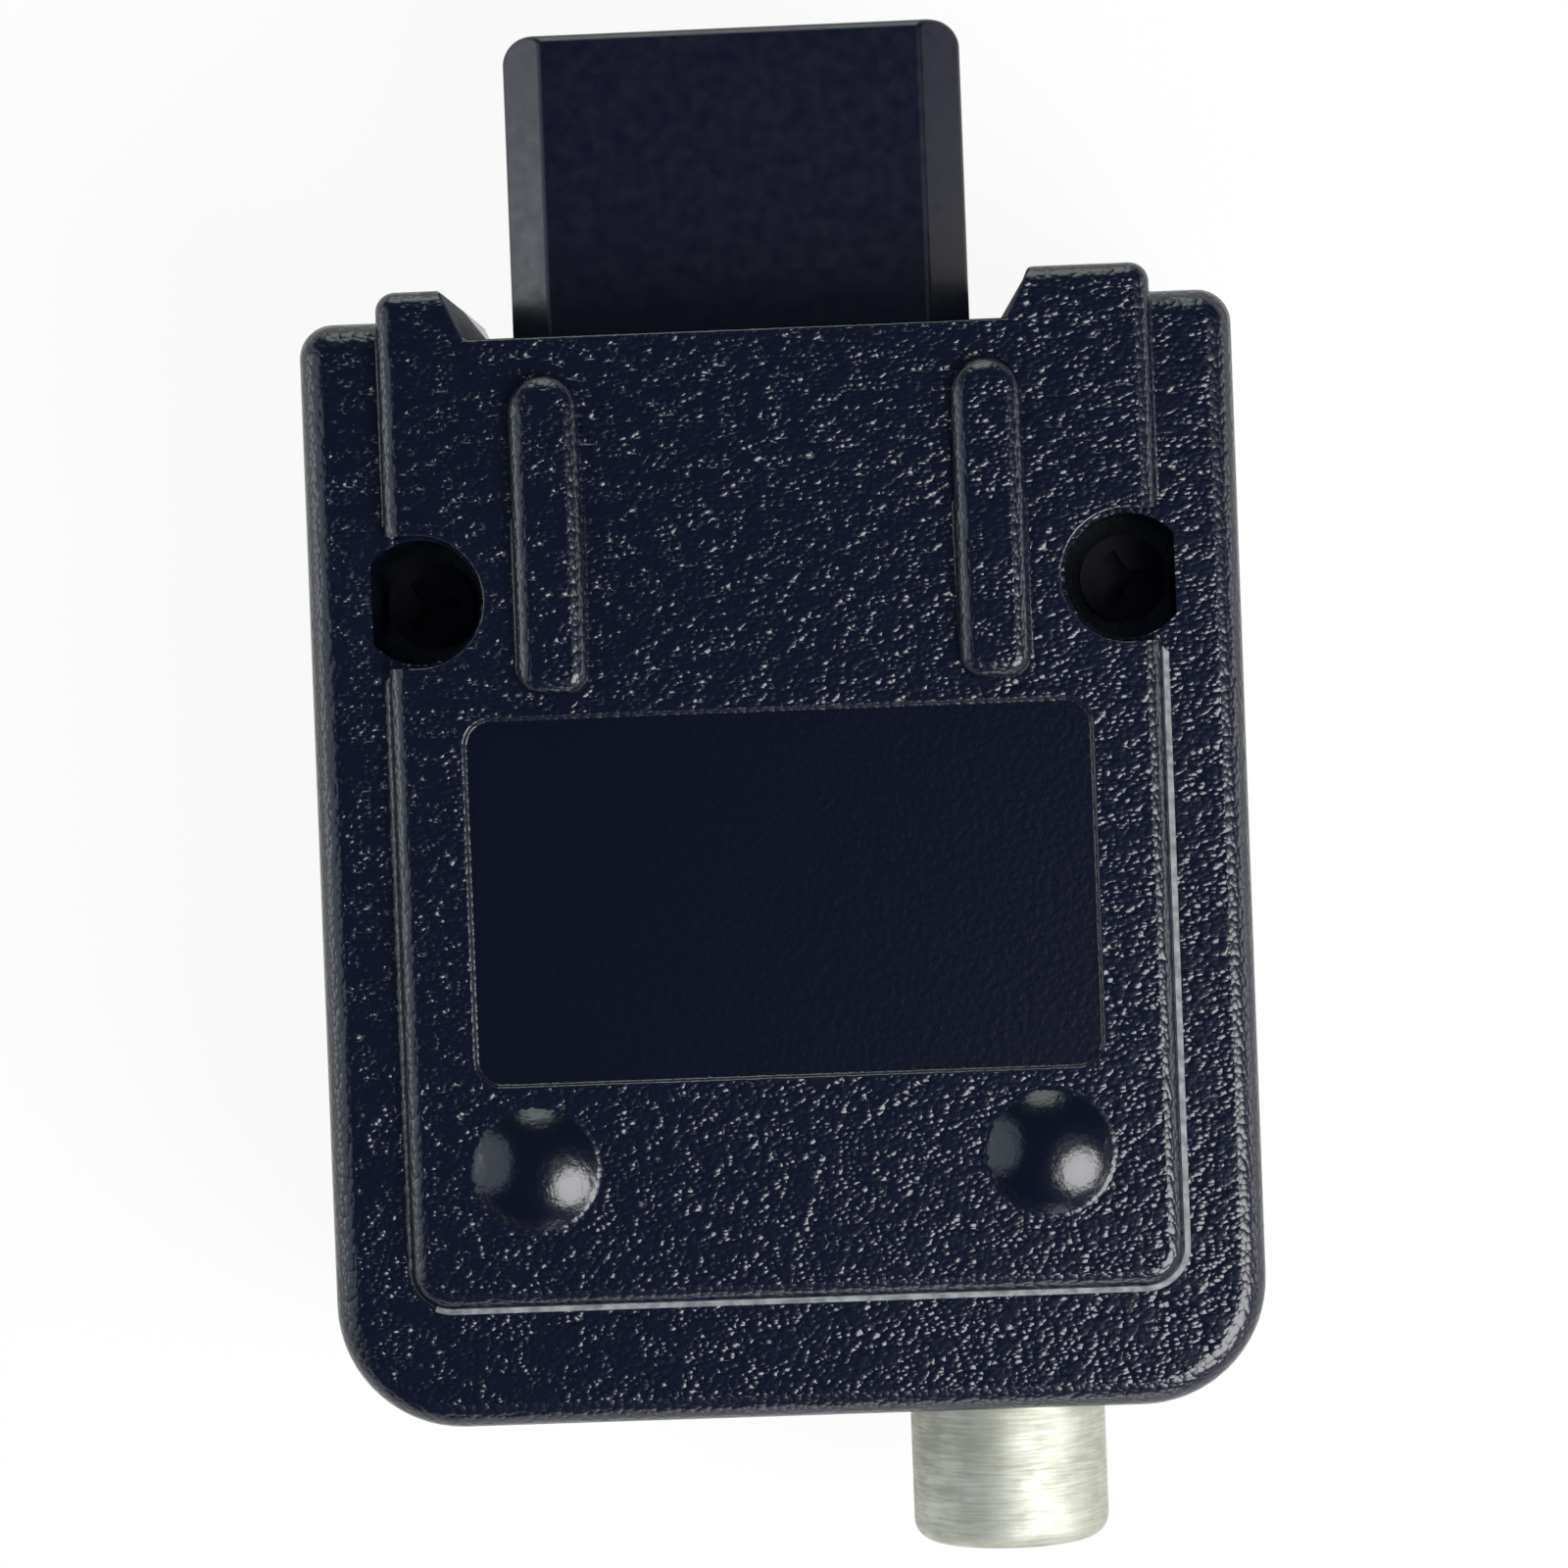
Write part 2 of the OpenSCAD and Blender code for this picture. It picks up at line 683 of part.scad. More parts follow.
module contact_carrier() color(dark_colour) {
    slot_w = contact_w + 2 * part_gap;
    slot_h = contact_t + 2 * part_gap;
    difference() {
        along_y(carrier_y, mouth_y) plug_section(plug_wall + fit, inner_chamfer_share);
        for (i = [0:contact_n - 1]) for (side = [-1, 1])
            translate([contact_x(i) - slot_w / 2, carrier_y - over, seam_z + side * contact_z - slot_h / 2])
            cube([slot_w, mouth_y - carrier_y + 2 * over, slot_h]);
    }
    for (i = [0:contact_n - 2]) for (side = [-1, 1]) {
        x = (contact_x(i) + contact_x(i + 1)) / 2;
        z = seam_z + side * (contact_z + comb_h / 2);
        block([x - comb_w / 2, mouth_y - fit, z - comb_h / 2],
            [x + comb_w / 2, plug_end_y - tip_back, z + comb_h / 2]);
    }
}

module circuit_board() color(board_colour) {
    difference() {
        union() {
            block([-board_w / 2, board_y0, board_low_z], [board_w / 2, board_y1, board_top_z]);
            block([plug_x - tongue_w / 2, board_y1 - over, board_low_z],
                [plug_x + tongue_w / 2, tongue_y, board_top_z]);
        }
        block([jack_x - jack_notch_w / 2, board_y0 - over, board_low_z - over],
            [jack_x + jack_notch_w / 2, board_y0 + jack_notch_l, board_top_z + over]);
    }
}

module shield_frame() color(tin_colour) {
    half_w = frame_w / 2;
    difference() {
        block([-half_w, frame_y0, frame_low_z], [half_w, frame_y1, frame_top_z]);
        block([sheet_t - half_w, frame_y0 + sheet_t, frame_low_z - over],
            [half_w - sheet_t, frame_y1 - sheet_t, frame_top_z + over]);
        block([plug_x - tongue_w / 2 - fit, frame_y1 - sheet_t - over, board_low_z - contact_t - fit],
            [plug_x + tongue_w / 2 + fit, frame_y1 + over, board_top_z + contact_t + fit]);
        on_jack_axis(frame_y0 - over) square([jack_neck_r + part_gap, sheet_t + 2 * over]);
        block([switch_x - knob_w / 2 - switch_travel / 2 - 2 * fit, frame_y0 - over,
                switch_z - knob_h / 2 - 2 * fit],
            [switch_x + knob_w / 2 + switch_travel / 2 + 2 * fit, frame_y0 + sheet_t + over,
                switch_z + knob_h / 2 + 2 * fit]);
    }
}

// Lid that lies on the frame at height 0, with side skirts slit into fingers
module shield_lid() {
    half_w = frame_w / 2 + part_gap;
    pitch = frame_l / finger_n;
    difference() {
        union() {
            block([-half_w - lid_t, frame_y0, 0], [half_w + lid_t, frame_y1, lid_t]);
            for (side = [0, 1]) mirror([side, 0, 0])
                block([half_w, frame_y0 + finger_gap, -skirt_h], [half_w + lid_t, frame_y1 - finger_gap, lid_t]);
        }
        for (i = [1:finger_n - 1])
            block([-half_w - lid_t - over, frame_y0 + i * pitch - finger_gap / 2, -skirt_h - over],
                [half_w + lid_t + over, frame_y0 + i * pitch + finger_gap / 2, -part_gap]);
    }
}

module upper_shield_lid() color(tin_colour) translate([0, 0, frame_top_z]) difference() {
    shield_lid();
    for (place = coil_shares)
        translate([place.x * board_w, board_y0 + place.y * (board_y1 - board_y0), -over])
        cylinder(h = lid_t + 2 * over, d = can_hole_d);
}

module lower_shield_lid() color(tin_colour)
    translate([0, 0, frame_low_z]) mirror([0, 0, 1]) shield_lid();

module rf_jack_sleeve() color(metal_colour) {
    flange_y = frame_y0 - jack_flange_t;
    sleeve_l = flange_y - jack_end_y;
    bore_r = jack_r - jack_wall;
    end_r = min(jack_end_r, jack_wall - part_gap);
    on_jack_axis(jack_end_y) {
        translate([bore_r, end_r]) square([jack_wall, jack_reach - end_r]);
        translate([bore_r, jack_reach]) square([jack_wall - jack_root_step, sleeve_l - jack_reach]);
        translate([bore_r, 0]) square([jack_wall - end_r, end_r]);
        translate([jack_r - end_r, end_r]) mirror([0, 1]) quarter(end_r);
        translate([jack_neck_bore_r, sleeve_l]) square([jack_flange_r - jack_neck_bore_r, jack_flange_t]);
        translate([jack_neck_bore_r, sleeve_l + jack_flange_t])
            square([jack_neck_r - jack_neck_bore_r, jack_neck_l]);
    }
}

module rf_jack_insulator() color(insulator_colour) {
    front_y = jack_end_y + jack_lip;
    step_y = frame_y0 - jack_flange_t - part_gap;
    back_y = frame_y0 + jack_neck_l - part_gap;
    outer_r = jack_r - jack_wall - part_gap;
    bore_r = pin_r + pin_wall + part_gap;
    bore_end_y = pin_y + pin_bore_l + pin_wall + part_gap;
    on_jack_axis(front_y) polygon([[pin_r + part_gap, 0], [outer_r, 0], [outer_r, step_y - front_y],
        [jack_neck_bore_r - part_gap, step_y - front_y], [jack_neck_bore_r - part_gap, back_y - front_y],
        [pin_tail_r + part_gap, back_y - front_y], [pin_tail_r + part_gap, bore_end_y - front_y],
        [bore_r, bore_end_y - front_y], [bore_r, insulator_lip - part_gap],
        [pin_r + part_gap, insulator_lip - part_gap]]);
}

module rf_jack_contact() color(brass_colour) {
    bore_end = pin_bore_l;
    outer_r = pin_r + pin_wall;
    tail_y = frame_y0 + sheet_t + jack_notch_l - pin_tail_r;
    on_jack_axis(pin_y) polygon([[pin_r, 0], [outer_r, 0], [outer_r, bore_end + pin_wall],
        [pin_tail_r, bore_end + pin_wall], [pin_tail_r, tail_y - pin_y], [0, tail_y - pin_y],
        [0, bore_end], [pin_r, bore_end]]);
    block([jack_x - pin_tail_r, tail_y - pin_tail_r, seam_z - pin_tail_r],
        [jack_x + pin_tail_r, tail_y, board_top_z + contact_t]);
    block([jack_x - pin_tail_r, tail_y - pin_tail_r, board_top_z],
        [jack_x + pin_tail_r, tail_y + contact_tail_l, board_top_z + contact_t]);
}

module rf_jack_lock_ring() color(tin_colour)
    on_jack_axis(frame_y0 + sheet_t) translate([jack_neck_r + part_gap, 0])
        square([lock_ring_r - jack_neck_r - part_gap, lock_ring_t]);

// Switch housing: sheet box, open towards the plug end
module switch_housing() color(metal_colour) {
    half_w = switch_w / 2;
    slot_w = knob_w + switch_travel + 4 * fit;
    t = switch_sheet_t;
    difference() {
        block([switch_x - half_w, switch_y0, board_top_z],
            [switch_x + half_w, switch_y1, board_top_z + switch_h]);
        block([switch_x - half_w + t, switch_y0 + t, board_top_z + t],
            [switch_x + half_w - t, switch_y1 + over, board_top_z + switch_h - t]);
        block([switch_x - slot_w / 2, switch_y0 - over, switch_z - knob_h / 2 - 2 * fit],
            [switch_x + slot_w / 2, switch_y0 + t + over, switch_z + knob_h / 2 + 2 * fit]);
    }
}

// Places of the switch's terminals, across the case
function terminal_x(i) = switch_x + i * terminal_pitch;

module switch_base() color(dark_colour) {
    half_w = switch_w / 2 - switch_sheet_t - part_gap;
    low_z = board_top_z + switch_sheet_t + part_gap;
    high_z = board_top_z + switch_h - switch_sheet_t - part_gap;
    difference() {
        block([switch_x - half_w, switch_y1 - base_t, low_z], [switch_x + half_w, switch_y1, high_z]);
        for (i = [-1:1])
            block([terminal_x(i) - terminal_w / 4 - part_gap, switch_y1 - base_t - over,
                    switch_z - leg_t - part_gap],
                [terminal_x(i) + terminal_w / 4 + part_gap, switch_y1 + over, switch_z + leg_t + part_gap]);
    }
}

module switch_terminals() color(brass_colour)
    for (i = [-1:1]) {
        x = terminal_x(i);
        pad_y = switch_y1 - base_t;
        leg_y = switch_y1 + leg_t;
        block([x - terminal_w / 2, pad_y - terminal_t, switch_z - terminal_h / 2],
            [x + terminal_w / 2, pad_y, switch_z + terminal_h / 2]);
        block([x - terminal_w / 4, pad_y - terminal_t, switch_z - leg_t],
            [x + terminal_w / 4, leg_y, switch_z + leg_t]);
        block([x - terminal_w / 4, switch_y1 + part_gap, board_top_z],
            [x + terminal_w / 4, leg_y, switch_z + leg_t]);
        block([x - terminal_w / 4, switch_y1 + part_gap, board_top_z],
            [x + terminal_w / 4, leg_y + foot_l, board_top_z + leg_t]);
    }

module switch_knob() color(dark_colour) {
    slider_y = switch_y0 + switch_sheet_t + fit;
    slider_h = switch_h - 2 * switch_sheet_t - 2 * fit;
    block([knob_x - slider_w / 2, slider_y, switch_z - slider_h / 2],
        [knob_x + slider_w / 2, slider_y + slider_l, switch_z + slider_h / 2]);
    block([knob_x - knob_w / 2, rear_y + knob_recess, switch_z - knob_h / 2],
        [knob_x + knob_w / 2, slider_y + slider_l / 2, switch_z + knob_h / 2]);
}

module switch_wiper() color(brass_colour) {
    face_y = switch_y0 + switch_sheet_t + fit + slider_l;
    block([knob_x - terminal_pitch / 2 - terminal_w / 2, face_y, switch_z - terminal_w / 2],
        [knob_x + terminal_pitch / 2 + terminal_w / 2, face_y + terminal_t, switch_z + terminal_w / 2]);
}

// Place on the upper face of the board
module on_board(place) {
    translate([place.x * board_w, board_y0 + place.y * (board_y1 - board_y0), board_top_z]) children();
}

// Place on the lower face of the board, where up points away from the board
module under_board(place) {
    translate([place.x * board_w, board_y0 + place.y * (board_y1 - board_y0), board_low_z])
        mirror([0, 0, 1]) children();
}

module modulator_ic() color(dark_colour) on_board(ic_share)
    translate([-ic_w / 2, -ic_l / 2, ic_foot]) cube([ic_w, ic_l, ic_h]);

module ic_leads() color(tin_colour) on_board(ic_share)
    for (side = [0, 1]) mirror([0, side, 0]) for (i = [0:ic_lead_n - 1])
        along_x((i - (ic_lead_n - 1) / 2) * ic_lead_pitch, ic_lead_w)
            polygon(strip([[ic_l / 2, ic_foot + ic_h / 2], [ic_l / 2 + ic_lead_reach / 3, ic_foot + ic_h / 2],
                [ic_l / 2 + ic_lead_reach / 2, 0], [ic_l / 2 + ic_lead_reach, 0]], ic_lead_t));

module coil_can() {
    inner_w = can_w - 2 * can_wall;
    difference() {
        translate([-can_w / 2, -can_w / 2, 0]) cube([can_w, can_w, can_h]);
        translate([-inner_w / 2, -inner_w / 2, -over]) cube([inner_w, inner_w, can_h - can_wall + over]);
        cylinder(h = can_h + over, d = can_hole_d);
    }
}

module coil_cans() color(metal_colour) for (place = coil_shares) on_board(place) coil_can();

module coil_bobbins() color(insulator_colour) for (place = coil_shares) on_board(place) {
    base_w = can_w - 2 * can_wall - 2 * fit;
    difference() {
        union() {
            translate([-base_w / 2, -base_w / 2, 0]) cube([base_w, base_w, bobbin_base_t]);
            cylinder(h = can_h - can_wall - fit, d = bobbin_d);
        }
        translate([0, 0, bobbin_base_t / 2]) cylinder(h = can_h, d = core_d + 2 * part_gap);
    }
}

module coil_windings() color("#b5652b") for (place = coil_shares) on_board(place)
    translate([0, 0, bobbin_base_t + fit]) difference() {
        cylinder(h = can_h * winding_h_share, d = bobbin_d + 2 * winding_t);
        translate([0, 0, -over]) cylinder(h = can_h, d = bobbin_d + 2 * part_gap);
    }

module coil_cores() color("#3a3a3c") for (place = coil_shares) on_board(place)
    translate([0, 0, bobbin_base_t / 2 + fit]) difference() {
        cylinder(h = can_h * core_l_share, d = core_d);
        translate([-core_d, -core_d / 8, can_h * core_l_share - core_d / 4])
            cube([2 * core_d, core_d / 4, core_d]);
    }

module crystal() color(metal_colour) under_board(crystal_share) {
    base_h = crystal_rim;
    translate([0, -crystal_l / 2, 0]) linear_extrude(base_h)
        plan(crystal_w + crystal_rim, -crystal_rim / 2, crystal_l + crystal_rim / 2,
            crystal_l / 2, crystal_l / 2);
    translate([0, -crystal_l / 2, base_h]) linear_extrude(crystal_h - base_h)
        plan(crystal_w, 0, crystal_l, crystal_l / 2 - fit, crystal_l / 2 - fit);
}

// Capacitor can lying along Y, with its crimp groove and two bent wires
module electrolytic_capacitor() {
    r = capacitor_d / 2;
    e = capacitor_edge_r;
    groove_y = capacitor_l / 2 - crimp_back;
    translate([0, 0, r + part_gap]) rotate([-90, 0, 0]) rotate_extrude()
        polygon([[0, -capacitor_l / 2], [r - e, -capacitor_l / 2], [r, e - capacitor_l / 2],
            [r, groove_y - crimp_depth], [r - crimp_depth, groove_y], [r, groove_y + crimp_depth],
            [r, capacitor_l / 2 - e], [r - e, capacitor_l / 2], [0, capacitor_l / 2]]);
    for (side = [-1, 1]) {
        x = side * capacitor_d / 4;
        half = capacitor_wire_d / 2;
        block([x - half, capacitor_l / 2 - over, r - half], [x + half, capacitor_l / 2 + 2 * half, r + half]);
        block([x - half, capacitor_l / 2, 0], [x + half, capacitor_l / 2 + 2 * half, r + half]);
    }
}

module electrolytic_capacitors() color("#2b2f4a")
    for (place = capacitor_shares) under_board(place) electrolytic_capacitor();

module chips(upper, lower, h) {
    for (place = upper) on_board(place) translate([-chip_w / 2, -chip_l / 2, 0]) cube([chip_w, chip_l, h]);
    for (place = lower) under_board(place)
        translate([-chip_w / 2, -chip_l / 2, 0]) cube([chip_w, chip_l, h]);
}

module chip_capacitors() color("#a58a63")
    chips(upper_capacitor_shares, lower_capacitor_shares, chip_capacitor_h);

module chip_resistors() color(dark_colour)
    chips(upper_resistor_shares, lower_resistor_shares, resistor_h);

// Choke lying along X on two bent wires
module rf_choke() {
    r = choke_d / 2;
    waist_r = r - choke_waist;
    half_l = choke_l / 2;
    translate([0, 0, r + part_gap]) rotate([0, 90, 0]) rotate_extrude()
        polygon([[0, -half_l], [waist_r, -half_l], [r, -half_l + choke_waist],
            [r, -half_l / 2], [waist_r, -half_l / 3], [waist_r, half_l / 3], [r, half_l / 2],
            [r, half_l - choke_waist], [waist_r, half_l], [0, half_l]]);
    for (side = [0, 1]) mirror([side, 0, 0]) {
        half = choke_wire_d / 2;
        block([half_l - choke_waist, -half, r - half], [half_l + choke_wire_l, half, r + half]);
        block([half_l + choke_wire_l - choke_wire_d, -half, 0], [half_l + choke_wire_l, half, r + half]);
    }
}

module rf_chokes() color("#4f7a4a") for (place = choke_shares) on_board(place) rf_choke();

back_cover();
front_cover();
case_screws();
plug_shell();
contact_carrier();
upper_plug_contacts();
lower_plug_contacts();
circuit_board();
shield_frame();
upper_shield_lid();
lower_shield_lid();
rf_jack_sleeve();
rf_jack_insulator();
rf_jack_contact();
rf_jack_lock_ring();
switch_housing();
switch_base();
switch_terminals();
switch_knob();
switch_wiper();
modulator_ic();
ic_leads();
coil_cans();
coil_bobbins();
coil_windings();
coil_cores();
crystal();
electrolytic_capacitors();
chip_capacitors();
chip_resistors();
rf_chokes();
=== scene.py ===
# %% [markdown]
# # A plug-in RF modulator, seen from its label side
# The object is a small black box that joins a game console to a television's aerial socket. Two grained
# shells hold it together, a smooth multi-way plug fills one end, and the other end has a plated phono
# jack and a small channel switch. The measured model is loaded first and stays as it is: this lesson
# dresses it, so that it looks like the moulded plastic and plated metal that it is made of.

# %% Load the measured model
import json
import math
import bpy
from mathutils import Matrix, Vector


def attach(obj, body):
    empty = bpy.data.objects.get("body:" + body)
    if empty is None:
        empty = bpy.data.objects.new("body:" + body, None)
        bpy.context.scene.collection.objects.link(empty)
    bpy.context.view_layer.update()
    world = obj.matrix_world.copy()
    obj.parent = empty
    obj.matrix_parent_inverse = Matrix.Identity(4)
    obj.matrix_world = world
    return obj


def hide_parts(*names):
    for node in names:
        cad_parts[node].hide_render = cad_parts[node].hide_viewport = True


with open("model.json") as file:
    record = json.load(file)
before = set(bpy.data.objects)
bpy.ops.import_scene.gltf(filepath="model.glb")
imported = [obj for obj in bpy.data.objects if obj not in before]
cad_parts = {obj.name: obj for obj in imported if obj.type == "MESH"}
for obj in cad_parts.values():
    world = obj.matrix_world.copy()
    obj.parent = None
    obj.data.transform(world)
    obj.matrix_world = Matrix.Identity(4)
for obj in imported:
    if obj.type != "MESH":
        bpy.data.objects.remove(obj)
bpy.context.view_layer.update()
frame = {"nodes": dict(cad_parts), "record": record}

# %% [markdown]
# Everything is in metres, but a maker thinks in millimetres, so one short function turns one into the
# other. A second turns a colour as a screen shows it into the linear values that a shader needs.

# %% Millimetres and colours


def mm(value):
    """A length in millimetres as Blender's metres."""
    return value / 1000


def colour(code):
    """An sRGB hex colour as linear red, green, blue and alpha."""
    shares = [int(code[i : i + 2], 16) / 255 for i in (1, 3, 5)]
    return tuple(s / 12.92 if s <= 0.04045 else ((s + 0.055) / 1.055) ** 2.4 for s in shares) + (1,)


print("a mid grey is", round(colour("#808080")[0], 3), "in linear light")

# %% [markdown]
# ## The camera
# The photograph looks almost straight down on the label side, from about 200 mm away, and the object
# is turned a little anticlockwise in it. A long lens at that distance keeps the sides nearly parallel
# while the jack, which lies deeper than the label, still looks slightly smaller.

# %% Camera
bpy.ops.object.camera_add(
    location=(mm(7.309), mm(3.324), mm(219.85)),
    rotation=(math.radians(-0.8845), math.radians(2.0113), math.radians(-2.1962)),
)
camera = bpy.context.object
camera.data.sensor_width = 36
camera.data.lens = 112.24
camera.data.clip_start = mm(10)
bpy.context.scene.camera = camera
print("the camera is", round(camera.location.z * 1000), "mm above the table")

# %% [markdown]
# ## A helper for materials
# Every finish below is a small tree of shader nodes. One function starts a material with its surface
# shader, and one adds a node, sets it and links what flows into it.

# %% Material helpers


def finish(name, base, roughness, **sockets):
    """A new material, with its surface shader's own values."""
    material = bpy.data.materials.new(name)
    material.use_nodes = True
    surface = material.node_tree.nodes["Principled BSDF"]
    surface.inputs["Base Color"].default_value = colour(base)
    surface.inputs["Roughness"].default_value = roughness
    for key, value in sockets.items():
        surface.inputs[key.replace("_", " ")].default_value = value
    return material, surface


def add(material, kind, inputs, outlet=None, **settings):
    """Adds a node, with inputs given as values or as sockets to link, and returns one of its outlets."""
    node = material.node_tree.nodes.new("ShaderNode" + kind)
    for key, value in settings.items():
        setattr(node, key, value)
    for key, value in inputs.items():
        if isinstance(value, bpy.types.NodeSocket):
            material.node_tree.links.new(value, node.inputs[key])
        else:
            node.inputs[key].default_value = value
    return node.outputs[outlet or 0]


def link(material, outlet, inlet):
    """Joins an outlet to an inlet."""
    material.node_tree.links.new(outlet, inlet)


print("helpers ready")

# %% [markdown]
# ## Black ABS with a spark-eroded grain
# The two shells are moulded in black ABS. The mould was etched by sparks, so the plastic comes out
# covered in small rounded pebbles about a quarter of a millimetre apart. Each is a tiny dome, and only
# those with a steep enough side turn a glint of the lamp to the eye. The distance to the nearest point
# of a Voronoi pattern, squared and turned over, is just such a field of domes, and a Mapping node makes
# them a little wider across the case than along it. A slower noise flattens some of them and steepens
# others, so that the glints stand apart, and a fine one keeps them from looking alike. ABS has an index
# of refraction of 1.54.

# %% Grained ABS
shell_black, surface = finish("abs_spark_eroded", "#070B1E", 0.2, IOR=1.54)
place = add(shell_black, "TexCoord", {}, "Object")
wide = add(shell_black, "Mapping", {"Vector": place, "Scale": (0.78, 1.2, 1.0)})
cells = add(shell_black, "TexVoronoi", {"Vector": wide, "Scale": 1 / mm(0.25)}, "Distance")
pebbles = add(shell_black, "Math", {0: cells, 1: 2.0}, operation="POWER")
slow = add(shell_black, "TexNoise", {"Vector": wide, "Scale": 1 / mm(0.7), "Detail": 1.0}, "Fac")
steep = add(shell_black, "MapRange", {"Value": slow, "From Min": 0.38, "From Max": 0.62, "To Min": 0.3,
                                      "To Max": 1.5}, "Result")
pebbles = add(shell_black, "Math", {0: pebbles, 1: steep}, operation="MULTIPLY")
fine = add(shell_black, "TexNoise", {"Vector": place, "Scale": 1 / mm(0.14), "Detail": 2.0}, "Fac")
bumps = add(shell_black, "Bump", {"Height": pebbles, "Distance": mm(0.052)}, invert=True)
bumps = add(shell_black, "Bump", {"Height": fine, "Distance": mm(0.007), "Normal": bumps})
link(shell_black, bumps, surface.inputs["Normal"])
print(shell_black.name, "has pebbles 0.25 mm apart")

# %% [markdown]
# The domes, the screw wells and the floor of the shallow recess came from polished parts of the same
# mould. They are the same black with only a faint unevenness, so a lamp shows in them as a soft spot.

# %% Plain ABS
plain_black, surface = finish("abs_plain_moulded", "#040718", 0.2, IOR=1.54)
place = add(plain_black, "TexCoord", {}, "Object")
uneven = add(plain_black, "TexNoise", {"Vector": place, "Scale": 1 / mm(0.3), "Detail": 4.0}, "Fac")
bumps = add(plain_black, "Bump", {"Height": uneven, "Distance": mm(0.02)})
link(plain_black, bumps, surface.inputs["Normal"])
print(plain_black.name)

# %% [markdown]
# Where the flat sides turn a corner, the spark's grain is shallower and hands have rubbed it. The
# roundings therefore hold one broad, mottled highlight where the flats show separate glints.

# %% Rubbed roundings
rubbed_black, surface = finish("abs_rubbed_edge", "#080C1E", 0.24, IOR=1.54)
place = add(rubbed_black, "TexCoord", {}, "Object")
cells = add(rubbed_black, "TexVoronoi", {"Vector": place, "Scale": 1 / mm(0.3)}, "Distance")
pebbles = add(rubbed_black, "Math", {0: cells, 1: 2.0}, operation="POWER")
bumps = add(rubbed_black, "Bump", {"Height": pebbles, "Distance": mm(0.034)}, invert=True)
link(rubbed_black, bumps, surface.inputs["Normal"])
print(rubbed_black.name)

# %% [markdown]
# A pale grey painted into two places stands for light. In the narrow hollow at the foot of the plate it
# is a painted highlight that draws a bright line, and on the slanted walls beside the seat a darker grey
# is a painted sheen. The grey is uneven, so a noise moves its colour between a low and a high tone.

# %% Painted highlight and sheen


def painted_light_finish(name, low_tone, high_tone):
    """Black plastic with an uneven pale grey painted on for light, between a low and a high tone."""
    material, surface = finish(name, low_tone, 0.6, IOR=1.54)
    place = add(material, "TexCoord", {}, "Object")
    uneven_tone = add(material, "TexNoise", {"Vector": place, "Scale": 1 / mm(0.5), "Detail": 3.0}, "Fac")
    tone = add(material, "ValToRGB", {"Fac": uneven_tone}, "Color")
    ramp = material.node_tree.nodes["Color Ramp"].color_ramp
    ramp.elements[0].position, ramp.elements[0].color = 0.35, colour(low_tone)
    ramp.elements[1].position, ramp.elements[1].color = 0.65, colour(high_tone)
    link(material, tone, surface.inputs["Base Color"])
    bumps = add(material, "Bump", {"Height": uneven_tone, "Distance": mm(0.02)})
    link(material, bumps, surface.inputs["Normal"])
    return material


# painted sheen: a lighter grey on the slanted walls beside the seat
painted_sheen_wall = painted_light_finish("abs_painted_sheen_wall", "#1C222D", "#3F4651")
# painted highlight: a pale grey that draws a bright line in the hollow at the foot of the plate
painted_highlight_hollow = painted_light_finish("abs_painted_highlight_hollow", "#5E6264", "#8D9193")
print(painted_sheen_wall.name, painted_highlight_hollow.name)

# %% [markdown]
# The plug's shroud is a separate moulding with a polished skin. It has a slight sheen, a few specks of
# dust and hardly any relief.

# %% Polished ABS
plug_black, surface = finish("abs_polished_plug", "#04051C", 0.3, IOR=1.54)
place = add(plug_black, "TexCoord", {}, "Object")
ripple = add(plug_black, "TexNoise", {"Vector": place, "Scale": 1 / mm(0.6), "Detail": 4.0}, "Fac")
rub = add(plug_black, "MapRange", {"Value": ripple, "From Min": 0.3, "From Max": 0.7, "To Min": 0.27,
                                   "To Max": 0.37}, "Result")
link(plug_black, rub, surface.inputs["Roughness"])
bumps = add(plug_black, "Bump", {"Height": ripple, "Distance": mm(0.004)})
link(plug_black, bumps, surface.inputs["Normal"])
print(plug_black.name)

# %% [markdown]
# ## Nickel plate on turned brass
# The jack's sleeve was turned on a lathe and plated with nickel, which leaves fine rings round it and
# a warm grey colour with darker patches where it has been handled. Noise stretched round the sleeve
# draws the rings: it changes every tenth of a millimetre along the sleeve and hardly at all across it.

# %% Nickel
nickel, surface = finish("nickel_plated_brass", "#CFD0C0", 0.42, Metallic=1.0)
place = add(nickel, "TexCoord", {}, "Object")
turned = add(nickel, "Mapping", {"Vector": place, "Scale": (0.08, 1.0, 0.08)})
rings = add(nickel, "TexNoise", {"Vector": turned, "Scale": 1 / mm(0.12), "Detail": 3.0}, "Fac")
patches = add(nickel, "TexNoise", {"Vector": place, "Scale": 1 / mm(1.4), "Detail": 5.0}, "Fac")
both = add(nickel, "Math", {0: rings, 1: patches}, operation="ADD")
tone = add(nickel, "MapRange", {"Value": both, "From Min": 0.75, "From Max": 1.25}, "Result")
tone = add(nickel, "ValToRGB", {"Fac": tone}, "Color")
ramp = nickel.node_tree.nodes["Color Ramp"].color_ramp
ramp.elements[0].position, ramp.elements[0].color = 0.1, colour("#B1B2A3")
ramp.elements[1].position, ramp.elements[1].color = 0.9, colour("#C8C9BE")
link(nickel, tone, surface.inputs["Base Color"])
wear = add(nickel, "MapRange", {"Value": both, "From Min": 0.7, "From Max": 1.3, "To Min": 0.7,
                                "To Max": 0.6}, "Result")
link(nickel, wear, surface.inputs["Roughness"])
bumps = add(nickel, "Bump", {"Height": rings, "Distance": mm(0.007)})
link(nickel, bumps, surface.inputs["Normal"])
print(nickel.name)

# %% [markdown]
# ## The other metals
# The screws are blackened steel, the screening is tinned sheet, and the contacts are plated spring
# brass. Each is a metal with its own colour, roughness and grain: rolled sheet is streaked along the
# way it was rolled, and tin is cloudy.

